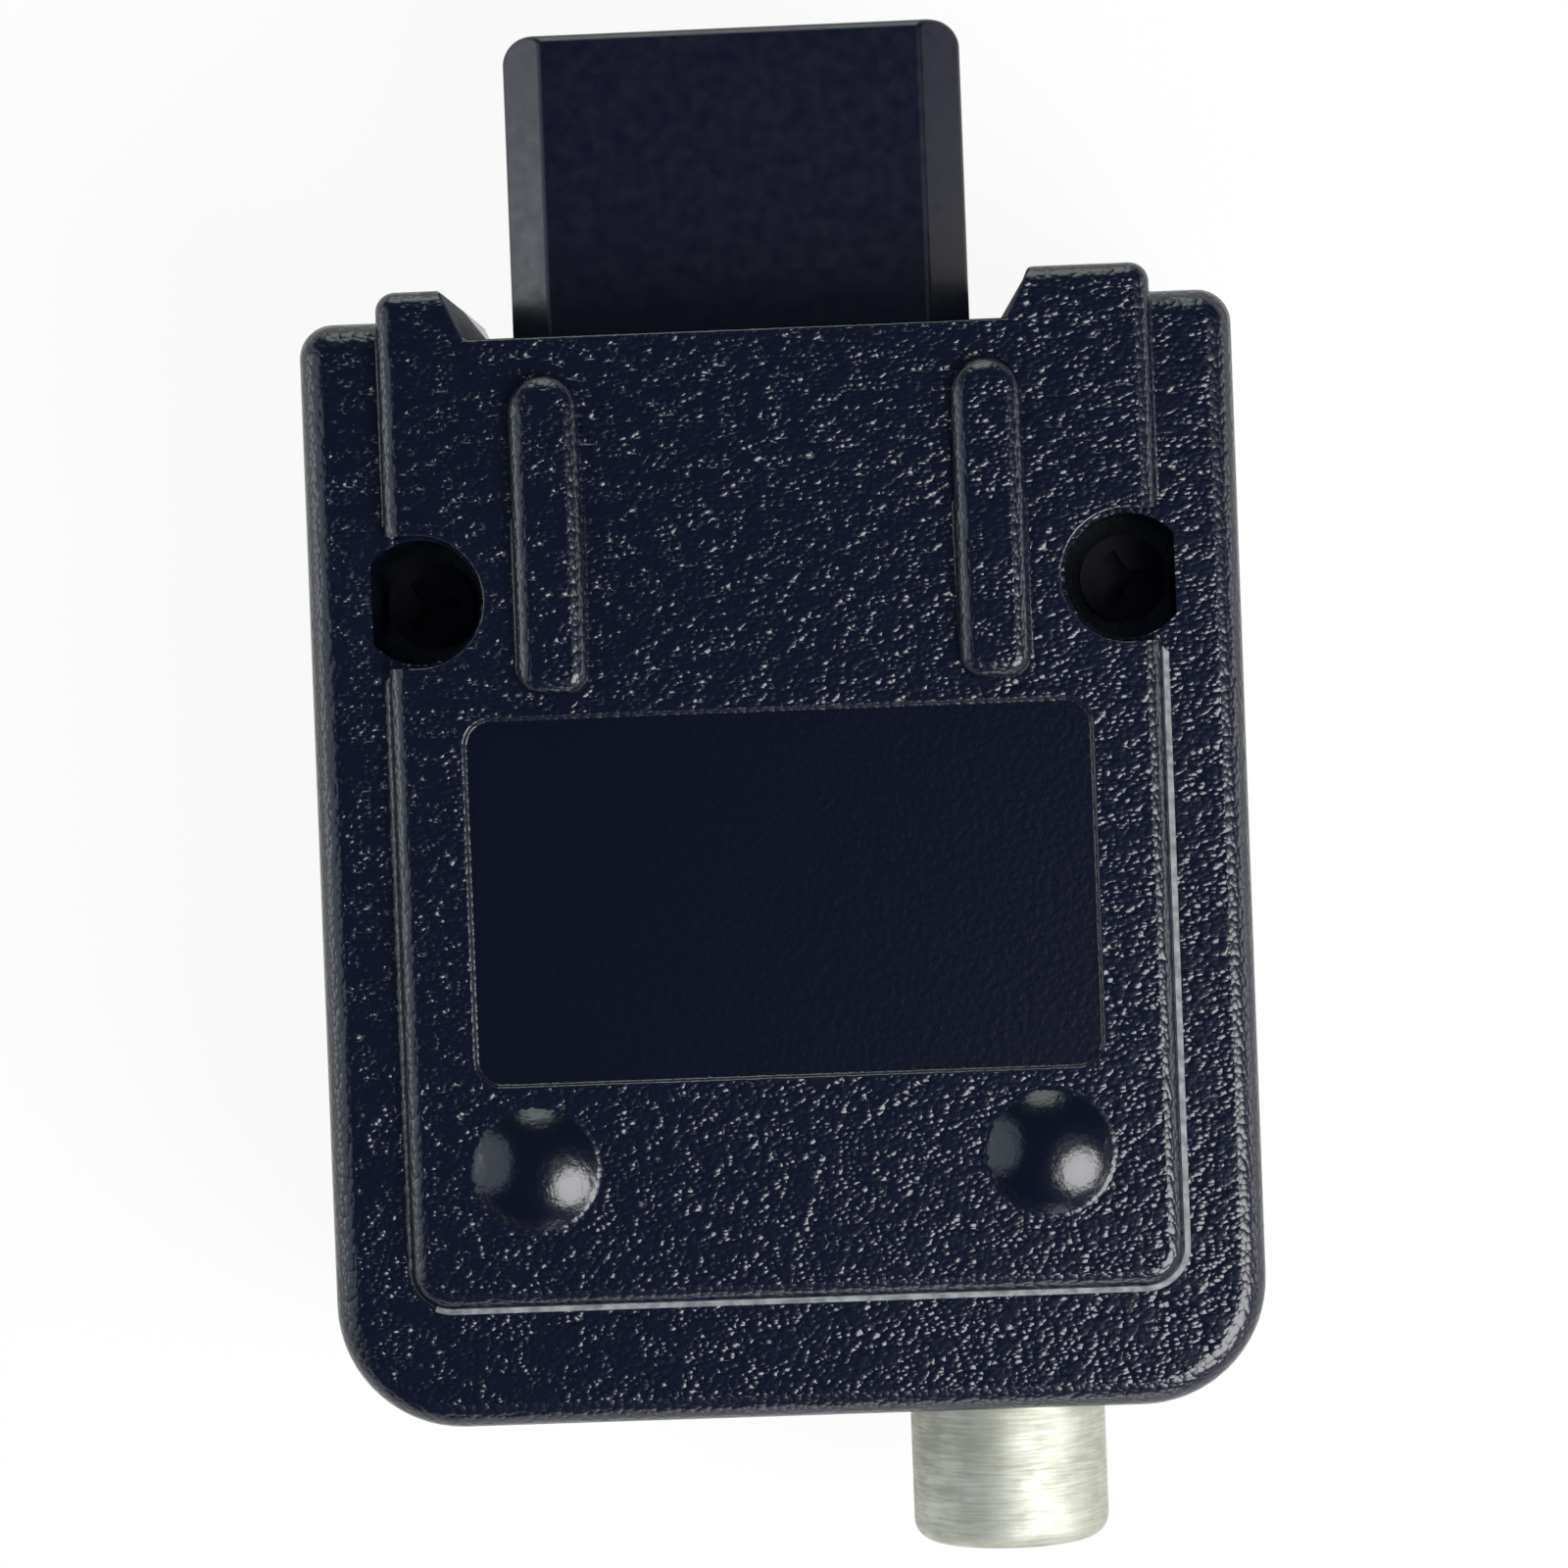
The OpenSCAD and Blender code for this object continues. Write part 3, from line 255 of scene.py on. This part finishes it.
# %% Blackened steel, tin and brass
black_steel, surface = finish("blackened_steel", "#26262C", 0.4, Metallic=1.0)
place = add(black_steel, "TexCoord", {}, "Object")
scuffs = add(black_steel, "TexNoise", {"Vector": place, "Scale": 1 / mm(0.3), "Detail": 4.0}, "Fac")
wear = add(black_steel, "MapRange", {"Value": scuffs, "To Min": 0.3, "To Max": 0.6}, "Result")
link(black_steel, wear, surface.inputs["Roughness"])
link(black_steel, add(black_steel, "Bump", {"Height": scuffs, "Distance": mm(0.01)}),
     surface.inputs["Normal"])

tin, surface = finish("tinned_steel_sheet", "#C3C5C6", 0.38, Metallic=1.0)
place = add(tin, "TexCoord", {}, "Object")
rolled = add(tin, "Mapping", {"Vector": place, "Scale": (1.0, 0.08, 1.0)})
streaks = add(tin, "TexNoise", {"Vector": rolled, "Scale": 1 / mm(0.15), "Detail": 3.0}, "Fac")
clouds = add(tin, "TexNoise", {"Vector": place, "Scale": 1 / mm(2.5), "Detail": 3.0}, "Fac")
wear = add(tin, "MapRange", {"Value": clouds, "From Min": 0.3, "From Max": 0.7, "To Min": 0.3,
                             "To Max": 0.48}, "Result")
link(tin, wear, surface.inputs["Roughness"])
link(tin, add(tin, "Bump", {"Height": streaks, "Distance": mm(0.006)}), surface.inputs["Normal"])

brass, surface = finish("plated_spring_brass", "#D9B36A", 0.28, Metallic=1.0)
place = add(brass, "TexCoord", {}, "Object")
rolled = add(brass, "Mapping", {"Vector": place, "Scale": (1.0, 0.06, 1.0)})
streaks = add(brass, "TexNoise", {"Vector": rolled, "Scale": 1 / mm(0.1), "Detail": 3.0}, "Fac")
link(brass, add(brass, "Bump", {"Height": streaks, "Distance": mm(0.004)}), surface.inputs["Normal"])
print(black_steel.name, tin.name, brass.name)

# %% [markdown]
# ## The plastics and the board inside
# Natural polypropylene lets a little light in, which makes it look milky. The small black mouldings
# are matt. The board is brown phenolic paper laminate with darker fibres.

# %% Insulator, black mouldings and board
milky, surface = finish("natural_polypropylene", "#E6E2D6", 0.42, IOR=1.49, Subsurface_Weight=0.2,
                        Subsurface_Scale=mm(1))
surface.inputs["Subsurface Radius"].default_value = (1.0, 0.9, 0.7)
place = add(milky, "TexCoord", {}, "Object")
flow = add(milky, "TexNoise", {"Vector": place, "Scale": 1 / mm(0.8), "Detail": 2.0}, "Fac")
link(milky, add(milky, "Bump", {"Height": flow, "Distance": mm(0.01)}), surface.inputs["Normal"])

matt_black, surface = finish("black_phenolic_moulding", "#0E0E11", 0.5, IOR=1.6)
place = add(matt_black, "TexCoord", {}, "Object")
grit = add(matt_black, "TexNoise", {"Vector": place, "Scale": 1 / mm(0.12), "Detail": 2.0}, "Fac")
link(matt_black, add(matt_black, "Bump", {"Height": grit, "Distance": mm(0.012)}),
     surface.inputs["Normal"])

laminate, surface = finish("phenolic_paper_laminate", "#8A5A2B", 0.45, IOR=1.55)
place = add(laminate, "TexCoord", {}, "Object")
fibres = add(laminate, "Mapping", {"Vector": place, "Scale": (1.0, 0.2, 1.0)})
fibres = add(laminate, "TexNoise", {"Vector": fibres, "Scale": 1 / mm(0.3), "Detail": 4.0}, "Fac")
tone = add(laminate, "ValToRGB", {"Fac": fibres}, "Color")
ramp = laminate.node_tree.nodes["Color Ramp"].color_ramp
ramp.elements[0].position, ramp.elements[0].color = 0.3, colour("#6E4520")
ramp.elements[1].position, ramp.elements[1].color = 0.7, colour("#9B6A36")
link(laminate, tone, surface.inputs["Base Color"])
print(milky.name, matt_black.name, laminate.name)

# %% [markdown]
# ## The finishes of the small parts
# Enamelled copper wire has a clear coat over a red metal, and the winding's turns lie side by side.
# Ferrite is a grey-black ceramic, the capacitors wear a shrunk vinyl sleeve, the chip capacitors are
# bare fired ceramic, and the chokes were dipped in green resin.

# %% Copper, ferrite, sleeve, ceramic and resin
copper, surface = finish("enamelled_copper_wire", "#B8643A", 0.3, Metallic=1.0, Coat_Weight=0.6,
                         Coat_Roughness=0.1)
place = add(copper, "TexCoord", {}, "Object")
turns = add(copper, "TexWave", {"Vector": place, "Scale": 2 / mm(4.4), "Distortion": 0.3}, "Fac",
            bands_direction="Z")
link(copper, add(copper, "Bump", {"Height": turns, "Distance": mm(0.05)}), surface.inputs["Normal"])

ferrite, surface = finish("sintered_ferrite", "#2B2B2E", 0.55, IOR=2.2)
place = add(ferrite, "TexCoord", {}, "Object")
grit = add(ferrite, "TexNoise", {"Vector": place, "Scale": 1 / mm(0.1), "Detail": 3.0}, "Fac")
link(ferrite, add(ferrite, "Bump", {"Height": grit, "Distance": mm(0.02)}), surface.inputs["Normal"])

vinyl, surface = finish("shrunk_vinyl_sleeve", "#16224A", 0.25, IOR=1.53)
place = add(vinyl, "TexCoord", {}, "Object")
shrunk = add(vinyl, "TexNoise", {"Vector": place, "Scale": 1 / mm(1.2), "Detail": 2.0}, "Fac")
link(vinyl, add(vinyl, "Bump", {"Height": shrunk, "Distance": mm(0.02)}), surface.inputs["Normal"])

ceramic, surface = finish("fired_ceramic", "#B49A78", 0.5, IOR=1.6)
place = add(ceramic, "TexCoord", {}, "Object")
flecks = add(ceramic, "TexNoise", {"Vector": place, "Scale": 1 / mm(0.15), "Detail": 3.0}, "Fac")
tone = add(ceramic, "ValToRGB", {"Fac": flecks}, "Color")
ramp = ceramic.node_tree.nodes["Color Ramp"].color_ramp
ramp.elements[0].position, ramp.elements[0].color = 0.35, colour("#9C8260")
ramp.elements[1].position, ramp.elements[1].color = 0.6, colour("#BFA684")
link(ceramic, tone, surface.inputs["Base Color"])

resin, surface = finish("dipped_green_resin", "#56834F", 0.28, IOR=1.55)
place = add(resin, "TexCoord", {}, "Object")
sags = add(resin, "TexNoise", {"Vector": place, "Scale": 1 / mm(0.9), "Detail": 2.0}, "Fac")
link(resin, add(resin, "Bump", {"Height": sags, "Distance": mm(0.06)}), surface.inputs["Normal"])
print(copper.name, ferrite.name, vinyl.name, ceramic.name, resin.name)

# %% [markdown]
# ## Each measured piece gets its finish
# The record names a material slot for every piece. A list says which finish belongs to which slot, and
# the pieces that keep their measured shape take it as it is.

# %% Finishes on the measured pieces
finishes = {
    "case_plastic": shell_black, "plug_plastic": plug_black, "nickel_plate": nickel,
    "screw_steel": black_steel, "tin_plate": tin, "contact_brass": brass, "white_insulator": milky,
    "dark_moulding": matt_black, "board": laminate, "copper_wire": copper, "ferrite": ferrite,
    "capacitor_sleeve": vinyl, "ceramic": ceramic, "choke_coat": resin,
}
for entry in frame["record"]["subparts"]:
    piece = frame["nodes"][entry["node"]]
    piece.data.materials.clear()
    piece.data.materials.append(finishes[entry["material_slot"]])

# %% [markdown]
# ## Soft edges on the shells
# A moulded edge is never quite sharp, and the eye sees that as a thin line of light. The measured
# shells have their large roundings already. A copy of each visible piece is cleaned of its doubled
# points and flat seams, so that its edges can be worked on as if it had been modelled by hand.

# %% Clean copies of measured pieces


def only(piece):
    """Selects one piece and nothing else."""
    bpy.ops.object.select_all(action="DESELECT")
    piece.select_set(True)
    bpy.context.view_layer.objects.active = piece


def clean_copy(node, name, body="modulator"):
    """A copy of a measured piece, with its points and flat faces joined, that stands in its place."""
    piece = bpy.data.objects.new(name, frame["nodes"][node].data.copy())
    bpy.context.collection.objects.link(piece)
    only(piece)
    bpy.ops.mesh.customdata_custom_splitnormals_clear()
    bpy.ops.object.mode_set(mode="EDIT")
    bpy.ops.mesh.select_all(action="SELECT")
    bpy.ops.mesh.remove_doubles(threshold=mm(0.02))
    bpy.ops.mesh.dissolve_limited(angle_limit=math.radians(0.5))
    bpy.ops.object.mode_set(mode="OBJECT")
    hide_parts(node)
    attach(piece, body)
    return piece


back = clean_copy("back_cover", "back_shell")
front = clean_copy("front_cover", "front_shell")
plug = clean_copy("plug_shell", "plug_shroud")
sleeve = clean_copy("rf_jack_sleeve", "jack_sleeve")
insulator = clean_copy("rf_jack_insulator", "jack_insulator")
knob = clean_copy("switch_knob", "channel_knob", "channel_slider")
print("the back shell's copy has", len(back.data.polygons), "faces")

# %% [markdown]
# Some places on the case are needed below. The raised plate and the rim round it are its two flat
# levels, the seat is the straight edge above the plug, between the two horns, and the wells hold the
# screws. The five kinds of skin that a shell can have are numbered as its material slots.

# %% Places on the case, in millimetres
rim_z, plate_z, seam_z = 20, 21, 11
seat_y, plug_x, half_seat, horn_x = 19.1, -1.1, 11.1, 14.5
well_x, well_y, well_reach, well_clear = 14.5, 8.5, 2.75, 3.2
dome_x, dome_y, dome_reach = 10.5, -14.85, 2.7
recess_x, recess_low, recess_high = 12.85, -11.45, 3.65
inner_x, inner_low, inner_high, floor_z = 17.8, -24.3, 18.9, 1.7
plug_end_y, plug_face_z = 32.1, 15.8
jack_face_y, figure_z = -25.55, 16.3
grained, plain, rubbed, in_hollow, on_wall = range(5)
print("the seat is", round(2 * half_seat, 1), "mm wide")

# %% [markdown]
# Each shell leaves its mould straight up or down, so the walls beside the seat lean a little: the seat
# is narrower where the shells meet than at the outer faces. From above, that shows as a thin triangle
# beside each horn. The seat's corner where the shells meet is picked by its place and slid towards the
# plug, and a new edge from there to the top of the horn's tip says where the bent wall folds. The lean
# is an estimate from the right-hand wall, and the left one, which can't be seen, is given the same.

# %% Lean the walls beside the seat


def pick_points(piece, rule):
    """Selects the points for which rule(point) holds, and stays in edit mode."""
    only(piece)
    bpy.context.tool_settings.mesh_select_mode = (True, False, False)
    bpy.ops.object.mode_set(mode="EDIT")
    bpy.ops.mesh.select_all(action="DESELECT")
    bpy.ops.object.mode_set(mode="OBJECT")
    for point in piece.data.vertices:
        point.select = rule(point)
    bpy.ops.object.mode_set(mode="EDIT")


def lean_wall(piece, side, lean):
    """Leans the wall on one side of the seat, by a length in mm where the shells meet."""
    corner = Vector((mm(plug_x + side * half_seat), mm(seat_y), mm(seam_z)))
    pick_points(piece, lambda point: (point.co - corner).length < mm(0.4))
    bpy.ops.transform.translate(value=(-side * mm(lean), 0, 0))
    bpy.ops.object.mode_set(mode="OBJECT")
    points = piece.data.vertices
    foot = next(point for point in points if point.select)
    wall = next(face for face in piece.data.polygons
                if foot.index in face.vertices and points[face.vertices[0]].co.y > mm(seat_y - 0.1)
                and face.normal.x * side < -0.2 and abs(face.normal.z) < 0.5)
    tip = max(wall.vertices, key=lambda index: (points[index].co - foot.co).length)
    ends = (foot.index, tip)
    pick_points(piece, lambda point: point.index in ends)
    bpy.ops.mesh.vert_connect_path()
    bpy.ops.object.mode_set(mode="OBJECT")
    print(piece.name, "leans by", lean, "mm on the", "right" if side > 0 else "left")


for shell in (back, front):
    for side in (-1, 1):
        lean_wall(shell, side, 0.63)

# %% [markdown]
# Some edges need their own rounding. The raised plate rises from a small hollow that carries a pale line
# of painted highlight, and the plug's end is rounded so that it enters the console easily. A rule picks
# these edges by the two faces that meet there, and the bevel operator rounds them, which fills a hollow
# corner and takes off a standing one.

# %% Round chosen edges


def round_edges(piece, rule, width, slot=0):
    """Bevels the edges for which rule(first face, second face, middle in mm) holds."""
    mesh = piece.data
    meeting = {}
    for face in mesh.polygons:
        for key in face.edge_keys:
            meeting.setdefault(key, []).append(face)
    only(piece)
    bpy.context.tool_settings.mesh_select_mode = (False, True, False)
    bpy.ops.object.mode_set(mode="EDIT")
    bpy.ops.mesh.select_all(action="DESELECT")
    bpy.ops.object.mode_set(mode="OBJECT")
    count = 0
    for edge in mesh.edges:
        faces = meeting.get(edge.key, [])
        middle = (mesh.vertices[edge.vertices[0]].co + mesh.vertices[edge.vertices[1]].co) / 2 * 1000
        if len(faces) == 2 and rule(faces[0], faces[1], middle):
            edge.select = True
            count += 1
    bpy.ops.object.mode_set(mode="EDIT")
    bpy.ops.mesh.bevel(offset=mm(width), segments=3, affect="EDGES", clamp_overlap=False, material=slot)
    bpy.ops.object.mode_set(mode="OBJECT")
    print(piece.name, "has", count, "edges rounded by", width, "mm")


def foot_at(level):
    """A rule for edges where a wall stands up from flat ground at a height in mm."""
    def rule(first, second, middle):
        wall, ground = sorted((first, second), key=lambda face: abs(face.normal.z))
        return (abs(middle.z - level) < 0.02 and ground.normal.z > 0.99 and abs(wall.normal.z) < 0.2
                and wall.center.z * 1000 > level + 0.01 and abs(middle.y - well_y) > well_clear - 0.1)
    return rule


def everywhere(first, second, middle):
    """Every sharp edge of a piece."""
    return first.normal.angle(second.normal, 0) > math.radians(32)


def still_sharp(first, second, middle):
    """Sharp edges on the outside of a shell, clear of the places where the wells cut its wall."""
    inside = (abs(middle.x) < inner_x and inner_low < middle.y < inner_high
              and floor_z < middle.z < rim_z - 0.1)
    on_rim_of_well = middle.z > plate_z - 0.02 and abs(middle.x) < well_x + 0.4
    beside_well = abs(middle.y - well_y) < well_clear and abs(middle.x) > well_x - 3.5
    at_foot = foot_at(plate_z)(first, second, middle)
    left_out = inside or at_foot or (beside_well and not on_rim_of_well)
    return everywhere(first, second, middle) and not left_out


def seat_edge(first, second, middle):
    """The plate's straight edge above the seat."""
    return (abs(middle.y - seat_y) < 0.05 and middle.z > plate_z - 0.05
            and max(first.normal.z, second.normal.z) > 0.99)


def plug_end(first, second, middle):
    """The long edge of the plug's end, on the label side."""
    return middle.y > plug_end_y - 0.05 and middle.z > plug_face_z - 0.05


# %% [markdown]
# The foot of the plate runs into the screw wells. Two cuts across the shell, one on each side of the
# wells, give the line an end before it reaches them.

# %% Round the feet, the seat's edge and the plug's end
for shell in (back, front):
    shell.data.materials.append(plain_black)
    shell.data.materials.append(rubbed_black)
# Slots 3 and 4 hold the painted highlight for the hollow and the painted sheen for the seat's walls.
back.data.materials.append(painted_highlight_hollow)
back.data.materials.append(painted_sheen_wall)
only(back)
for cut in (well_y - well_clear, well_y + well_clear):
    bpy.ops.object.mode_set(mode="EDIT")
    bpy.ops.mesh.select_all(action="SELECT")
    bpy.ops.mesh.bisect(plane_co=(0, mm(cut), 0), plane_no=(0, 1, 0))
    bpy.ops.object.mode_set(mode="OBJECT")
# The hollow's new faces take the painted highlight, which draws the pale line.
round_edges(back, foot_at(rim_z), 0.28, in_hollow)
round_edges(back, seat_edge, 0.22, rubbed)
round_edges(plug, plug_end, 0.4)

# %% [markdown]
# The domes, the wells and the shallow recess are polished, so their faces take the plain finish. Faces
# that lean, between a flat and a wall, belong to a rounding, and the walls beside the seat take the
# painted sheen. The left side of the hollow at the foot takes the rubbed finish instead of the painted
# highlight.
# All are found by their place or slope.

# %% Plain and rubbed areas
for shell in (back, front):
    for face in shell.data.polygons:
        leans = 0.12 < abs(face.normal.z) < 0.985
        # the left side of the hollow drops the painted highlight and takes the rubbed finish
        hollow_left_side = face.material_index == in_hollow and face.center.x < -mm(15)
        if hollow_left_side or (leans and face.material_index == grained):
            face.material_index = rubbed
for face in back.data.polygons:
    x, y, z = face.center * 1000
    on_dome = z > plate_z + 0.002 and math.hypot(abs(x) - dome_x, y - dome_y) < dome_reach
    in_recess = abs(x) < recess_x and recess_low < y < recess_high and 0.01 < plate_z - z < 0.3
    in_well = z < rim_z - 0.05 and math.hypot(abs(x) - well_x, y - well_y) < well_reach
    upright = abs(face.normal.z) < 0.5 and abs(face.normal.x) > 0.2
    beside_seat = y > seat_y + 0.05 and abs(x) < horn_x and upright
    if on_dome or in_recess or in_well:
        face.material_index = plain
    elif beside_seat:
        # the walls beside the seat take the painted sheen
        face.material_index = on_wall
for slot, kind in enumerate(("grained", "plain", "rubbed", "in the hollow", "on the seat")):
    print(sum(face.material_index == slot for face in back.data.polygons), "faces are", kind)

# %% [markdown]
# A small bevel takes the sharpness off the edges that are left and can be seen. Shading is then smooth
# across the roundings, and a weighted normal keeps the large flat faces truly flat.

# %% Soften and shade


def shade(piece):
    """Shades a piece smoothly over its roundings and evenly over its flats."""
    only(piece)
    bpy.ops.object.shade_smooth_by_angle(angle=math.radians(35))
    flats = piece.modifiers.new("flat faces", "WEIGHTED_NORMAL")
    flats.weight = 100
    flats.keep_sharp = True
    bpy.ops.object.modifier_apply(modifier=flats.name)
    print(piece.name, "has", len(piece.data.polygons), "faces")


round_edges(back, still_sharp, 0.12, rubbed)
round_edges(front, still_sharp, 0.12, rubbed)
round_edges(plug, everywhere, 0.15)
round_edges(knob, everywhere, 0.12)
for piece in (back, front, plug, sleeve, insulator, knob):
    shade(piece)

# %% [markdown]
# ## Channel numbers
# The switch has two positions, for channels 3 and 4. The numbers are printed on the jack face in thick
# white ink, above the two ends of the knob's travel. Each is a text object, thickened a little, made a
# mesh and laid against the wall. Screen ink is matt and slightly uneven.

# %% Printed numbers
ink, surface = finish("white_screen_ink", "#B9BCBE", 0.55, IOR=1.5)
place = add(ink, "TexCoord", {}, "Object")
mesh_marks = add(ink, "TexNoise", {"Vector": place, "Scale": 1 / mm(0.1), "Detail": 2.0}, "Fac")
bumps = add(ink, "Bump", {"Height": mesh_marks, "Distance": mm(0.006)})
link(ink, bumps, surface.inputs["Normal"])


def number(figure, x):
    """A printed figure on the jack face, at a distance in mm across the case."""
    bpy.ops.object.select_all(action="DESELECT")
    bpy.ops.object.text_add(location=(mm(x), mm(jack_face_y), mm(figure_z)),
                            rotation=(math.radians(90), 0, 0))
    mark = bpy.context.object
    mark.data.body = figure
    mark.data.size = mm(2.6)
    mark.data.extrude = mm(0.04)
    mark.data.align_x = "CENTER"
    bpy.ops.object.convert(target="MESH")
    mark = bpy.context.object
    mark.name = "channel_number_" + figure
    only(mark)
    bpy.ops.object.transform_apply(location=True, rotation=True, scale=True)
    mark.data.materials.clear()
    mark.data.materials.append(ink)
    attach(mark, "modulator")
    print(mark.name, "is", round(mark.dimensions.z * 1000, 2), "mm high")


number("3", -10)
number("4", -6)

# %% [markdown]
# ## The studio
# The photograph has a pure white ground. A wide sheet of white paper lies under the object and turns
# up at its far edge, as in a photographer's cove. It shows white to the camera and in reflections, and
# still takes a little of the object's shadow.

# %% Floor and cove
floor_radius, bend_radius, bend_steps = 1.2, 0.35, 12
bpy.ops.object.select_all(action="DESELECT")
bpy.ops.mesh.primitive_circle_add(vertices=96, radius=floor_radius, fill_type="NGON",
                                  location=(0, 0, -mm(0.05)))
cove = bpy.context.object
cove.name = "paper_cove"
bpy.ops.object.mode_set(mode="EDIT")
radius = floor_radius
run = bend_radius * math.radians(90) / bend_steps
for step in range(bend_steps):
    turn = math.radians(90) * (step + 0.5) / bend_steps
    grown = radius + run * math.cos(turn)
    bpy.ops.mesh.extrude_edges_move()
    bpy.ops.transform.resize(value=(grown / radius, grown / radius, 1))
    bpy.ops.transform.translate(value=(0, 0, run * math.sin(turn)))
    radius = grown
bpy.ops.object.mode_set(mode="OBJECT")
only(cove)
bpy.ops.object.transform_apply(location=True, rotation=False, scale=False)
bpy.ops.object.shade_smooth()
print("the cove is", round(cove.dimensions.x, 2), "m across and", round(cove.dimensions.z, 2), "m high")

# %% [markdown]
# The paper's shader is plain white paper for the light that falls on it. To the camera, and to rays
# that come from a shiny or clear surface, most of it is an even white, so that only a faint
# shadow is left. Seen from below it is clear, so that the object's flat face can be looked at.

# %% White paper
paper, surface = finish("matt_white_paper", "#F4F4F2", 0.9)
tree = paper.node_tree
ray = tree.nodes.new("ShaderNodeLightPath")
seen = add(paper, "Math", {0: ray.outputs["Is Camera Ray"], 1: ray.outputs["Is Glossy Ray"]},
           operation="MAXIMUM")
seen = add(paper, "Math", {0: seen, 1: ray.outputs["Is Transmission Ray"]}, operation="MAXIMUM")
share = add(paper, "Math", {0: seen, 1: 0.92}, operation="MULTIPLY")
white = add(paper, "Emission", {"Color": (1, 1, 1, 1), "Strength": 1.0})
lit = add(paper, "MixShader", {0: share, 1: surface.outputs[0], 2: white})
under = add(paper, "NewGeometry", {}, "Backfacing")
clear = add(paper, "BsdfTransparent", {})
both = add(paper, "MixShader", {0: under, 1: lit, 2: clear})
link(paper, both, tree.nodes["Material Output"].inputs["Surface"])
cove.data.materials.append(paper)
print(paper.name)

# %% [markdown]
# Black plastic shows its surroundings more than its own colour, so the lamps matter. The room is dim
# and slightly blue. A lamp as wide as a hand is long stands close by at the lower right, halfway up, and
# makes the glints. A dim panel above it brightens that side, and one at the left and one beyond the
# plug draw the edges. Three small ones stand low round the table, as the pale walls of a photographer's
# tent do, and light the steep sides of every rounding. None of the lamps shows in the picture itself.

# %% Room and lamps
world = bpy.data.worlds.new("dim_room")
bpy.context.scene.world = world
world.use_nodes = True
world.node_tree.nodes["Background"].inputs["Color"].default_value = colour("#434E5D")


def lamp(name, place, size, radiance, tint="#FFFFFF"):
    """A round area lamp in millimetres that looks at the object, with the brightness of its face."""
    direction = Vector((0, 0, 10)) - Vector(place)
    bpy.ops.object.light_add(type="AREA", location=[mm(v) for v in place],
                             rotation=direction.to_track_quat("-Z", "Y").to_euler())
    light = bpy.context.object
    light.name = name
    light.data.shape = "DISK"
    light.data.size = mm(size)
    light.data.energy = radiance * math.pi * mm(size) ** 2
    light.data.color = colour(tint)[:3]
    light.visible_camera = False


lamp("key_lamp", (130, -110, 190), 185, 7.2)
lamp("upper_right_panel", (170, -60, 320), 260, 0.4)
lamp("left_panel", (-260, 10, 170), 300, 0.9, "#EAF4FF")
lamp("far_panel", (-20, 300, 130), 220, 2.2, "#F4FFF8")
lamp("low_left_panel", (-300, 10, 62), 110, 1.6, "#F4FAFF")
lamp("low_right_panel", (300, -20, 62), 110, 2.0)
lamp("low_near_panel", (40, -300, 62), 110, 2.0)
print("seven lamps")

# %% [markdown]
# ## The view transform
# The view transform is the plain one, so that a colour renders as it is written.

# %% View transform
bpy.context.scene.view_settings.view_transform = "Standard"
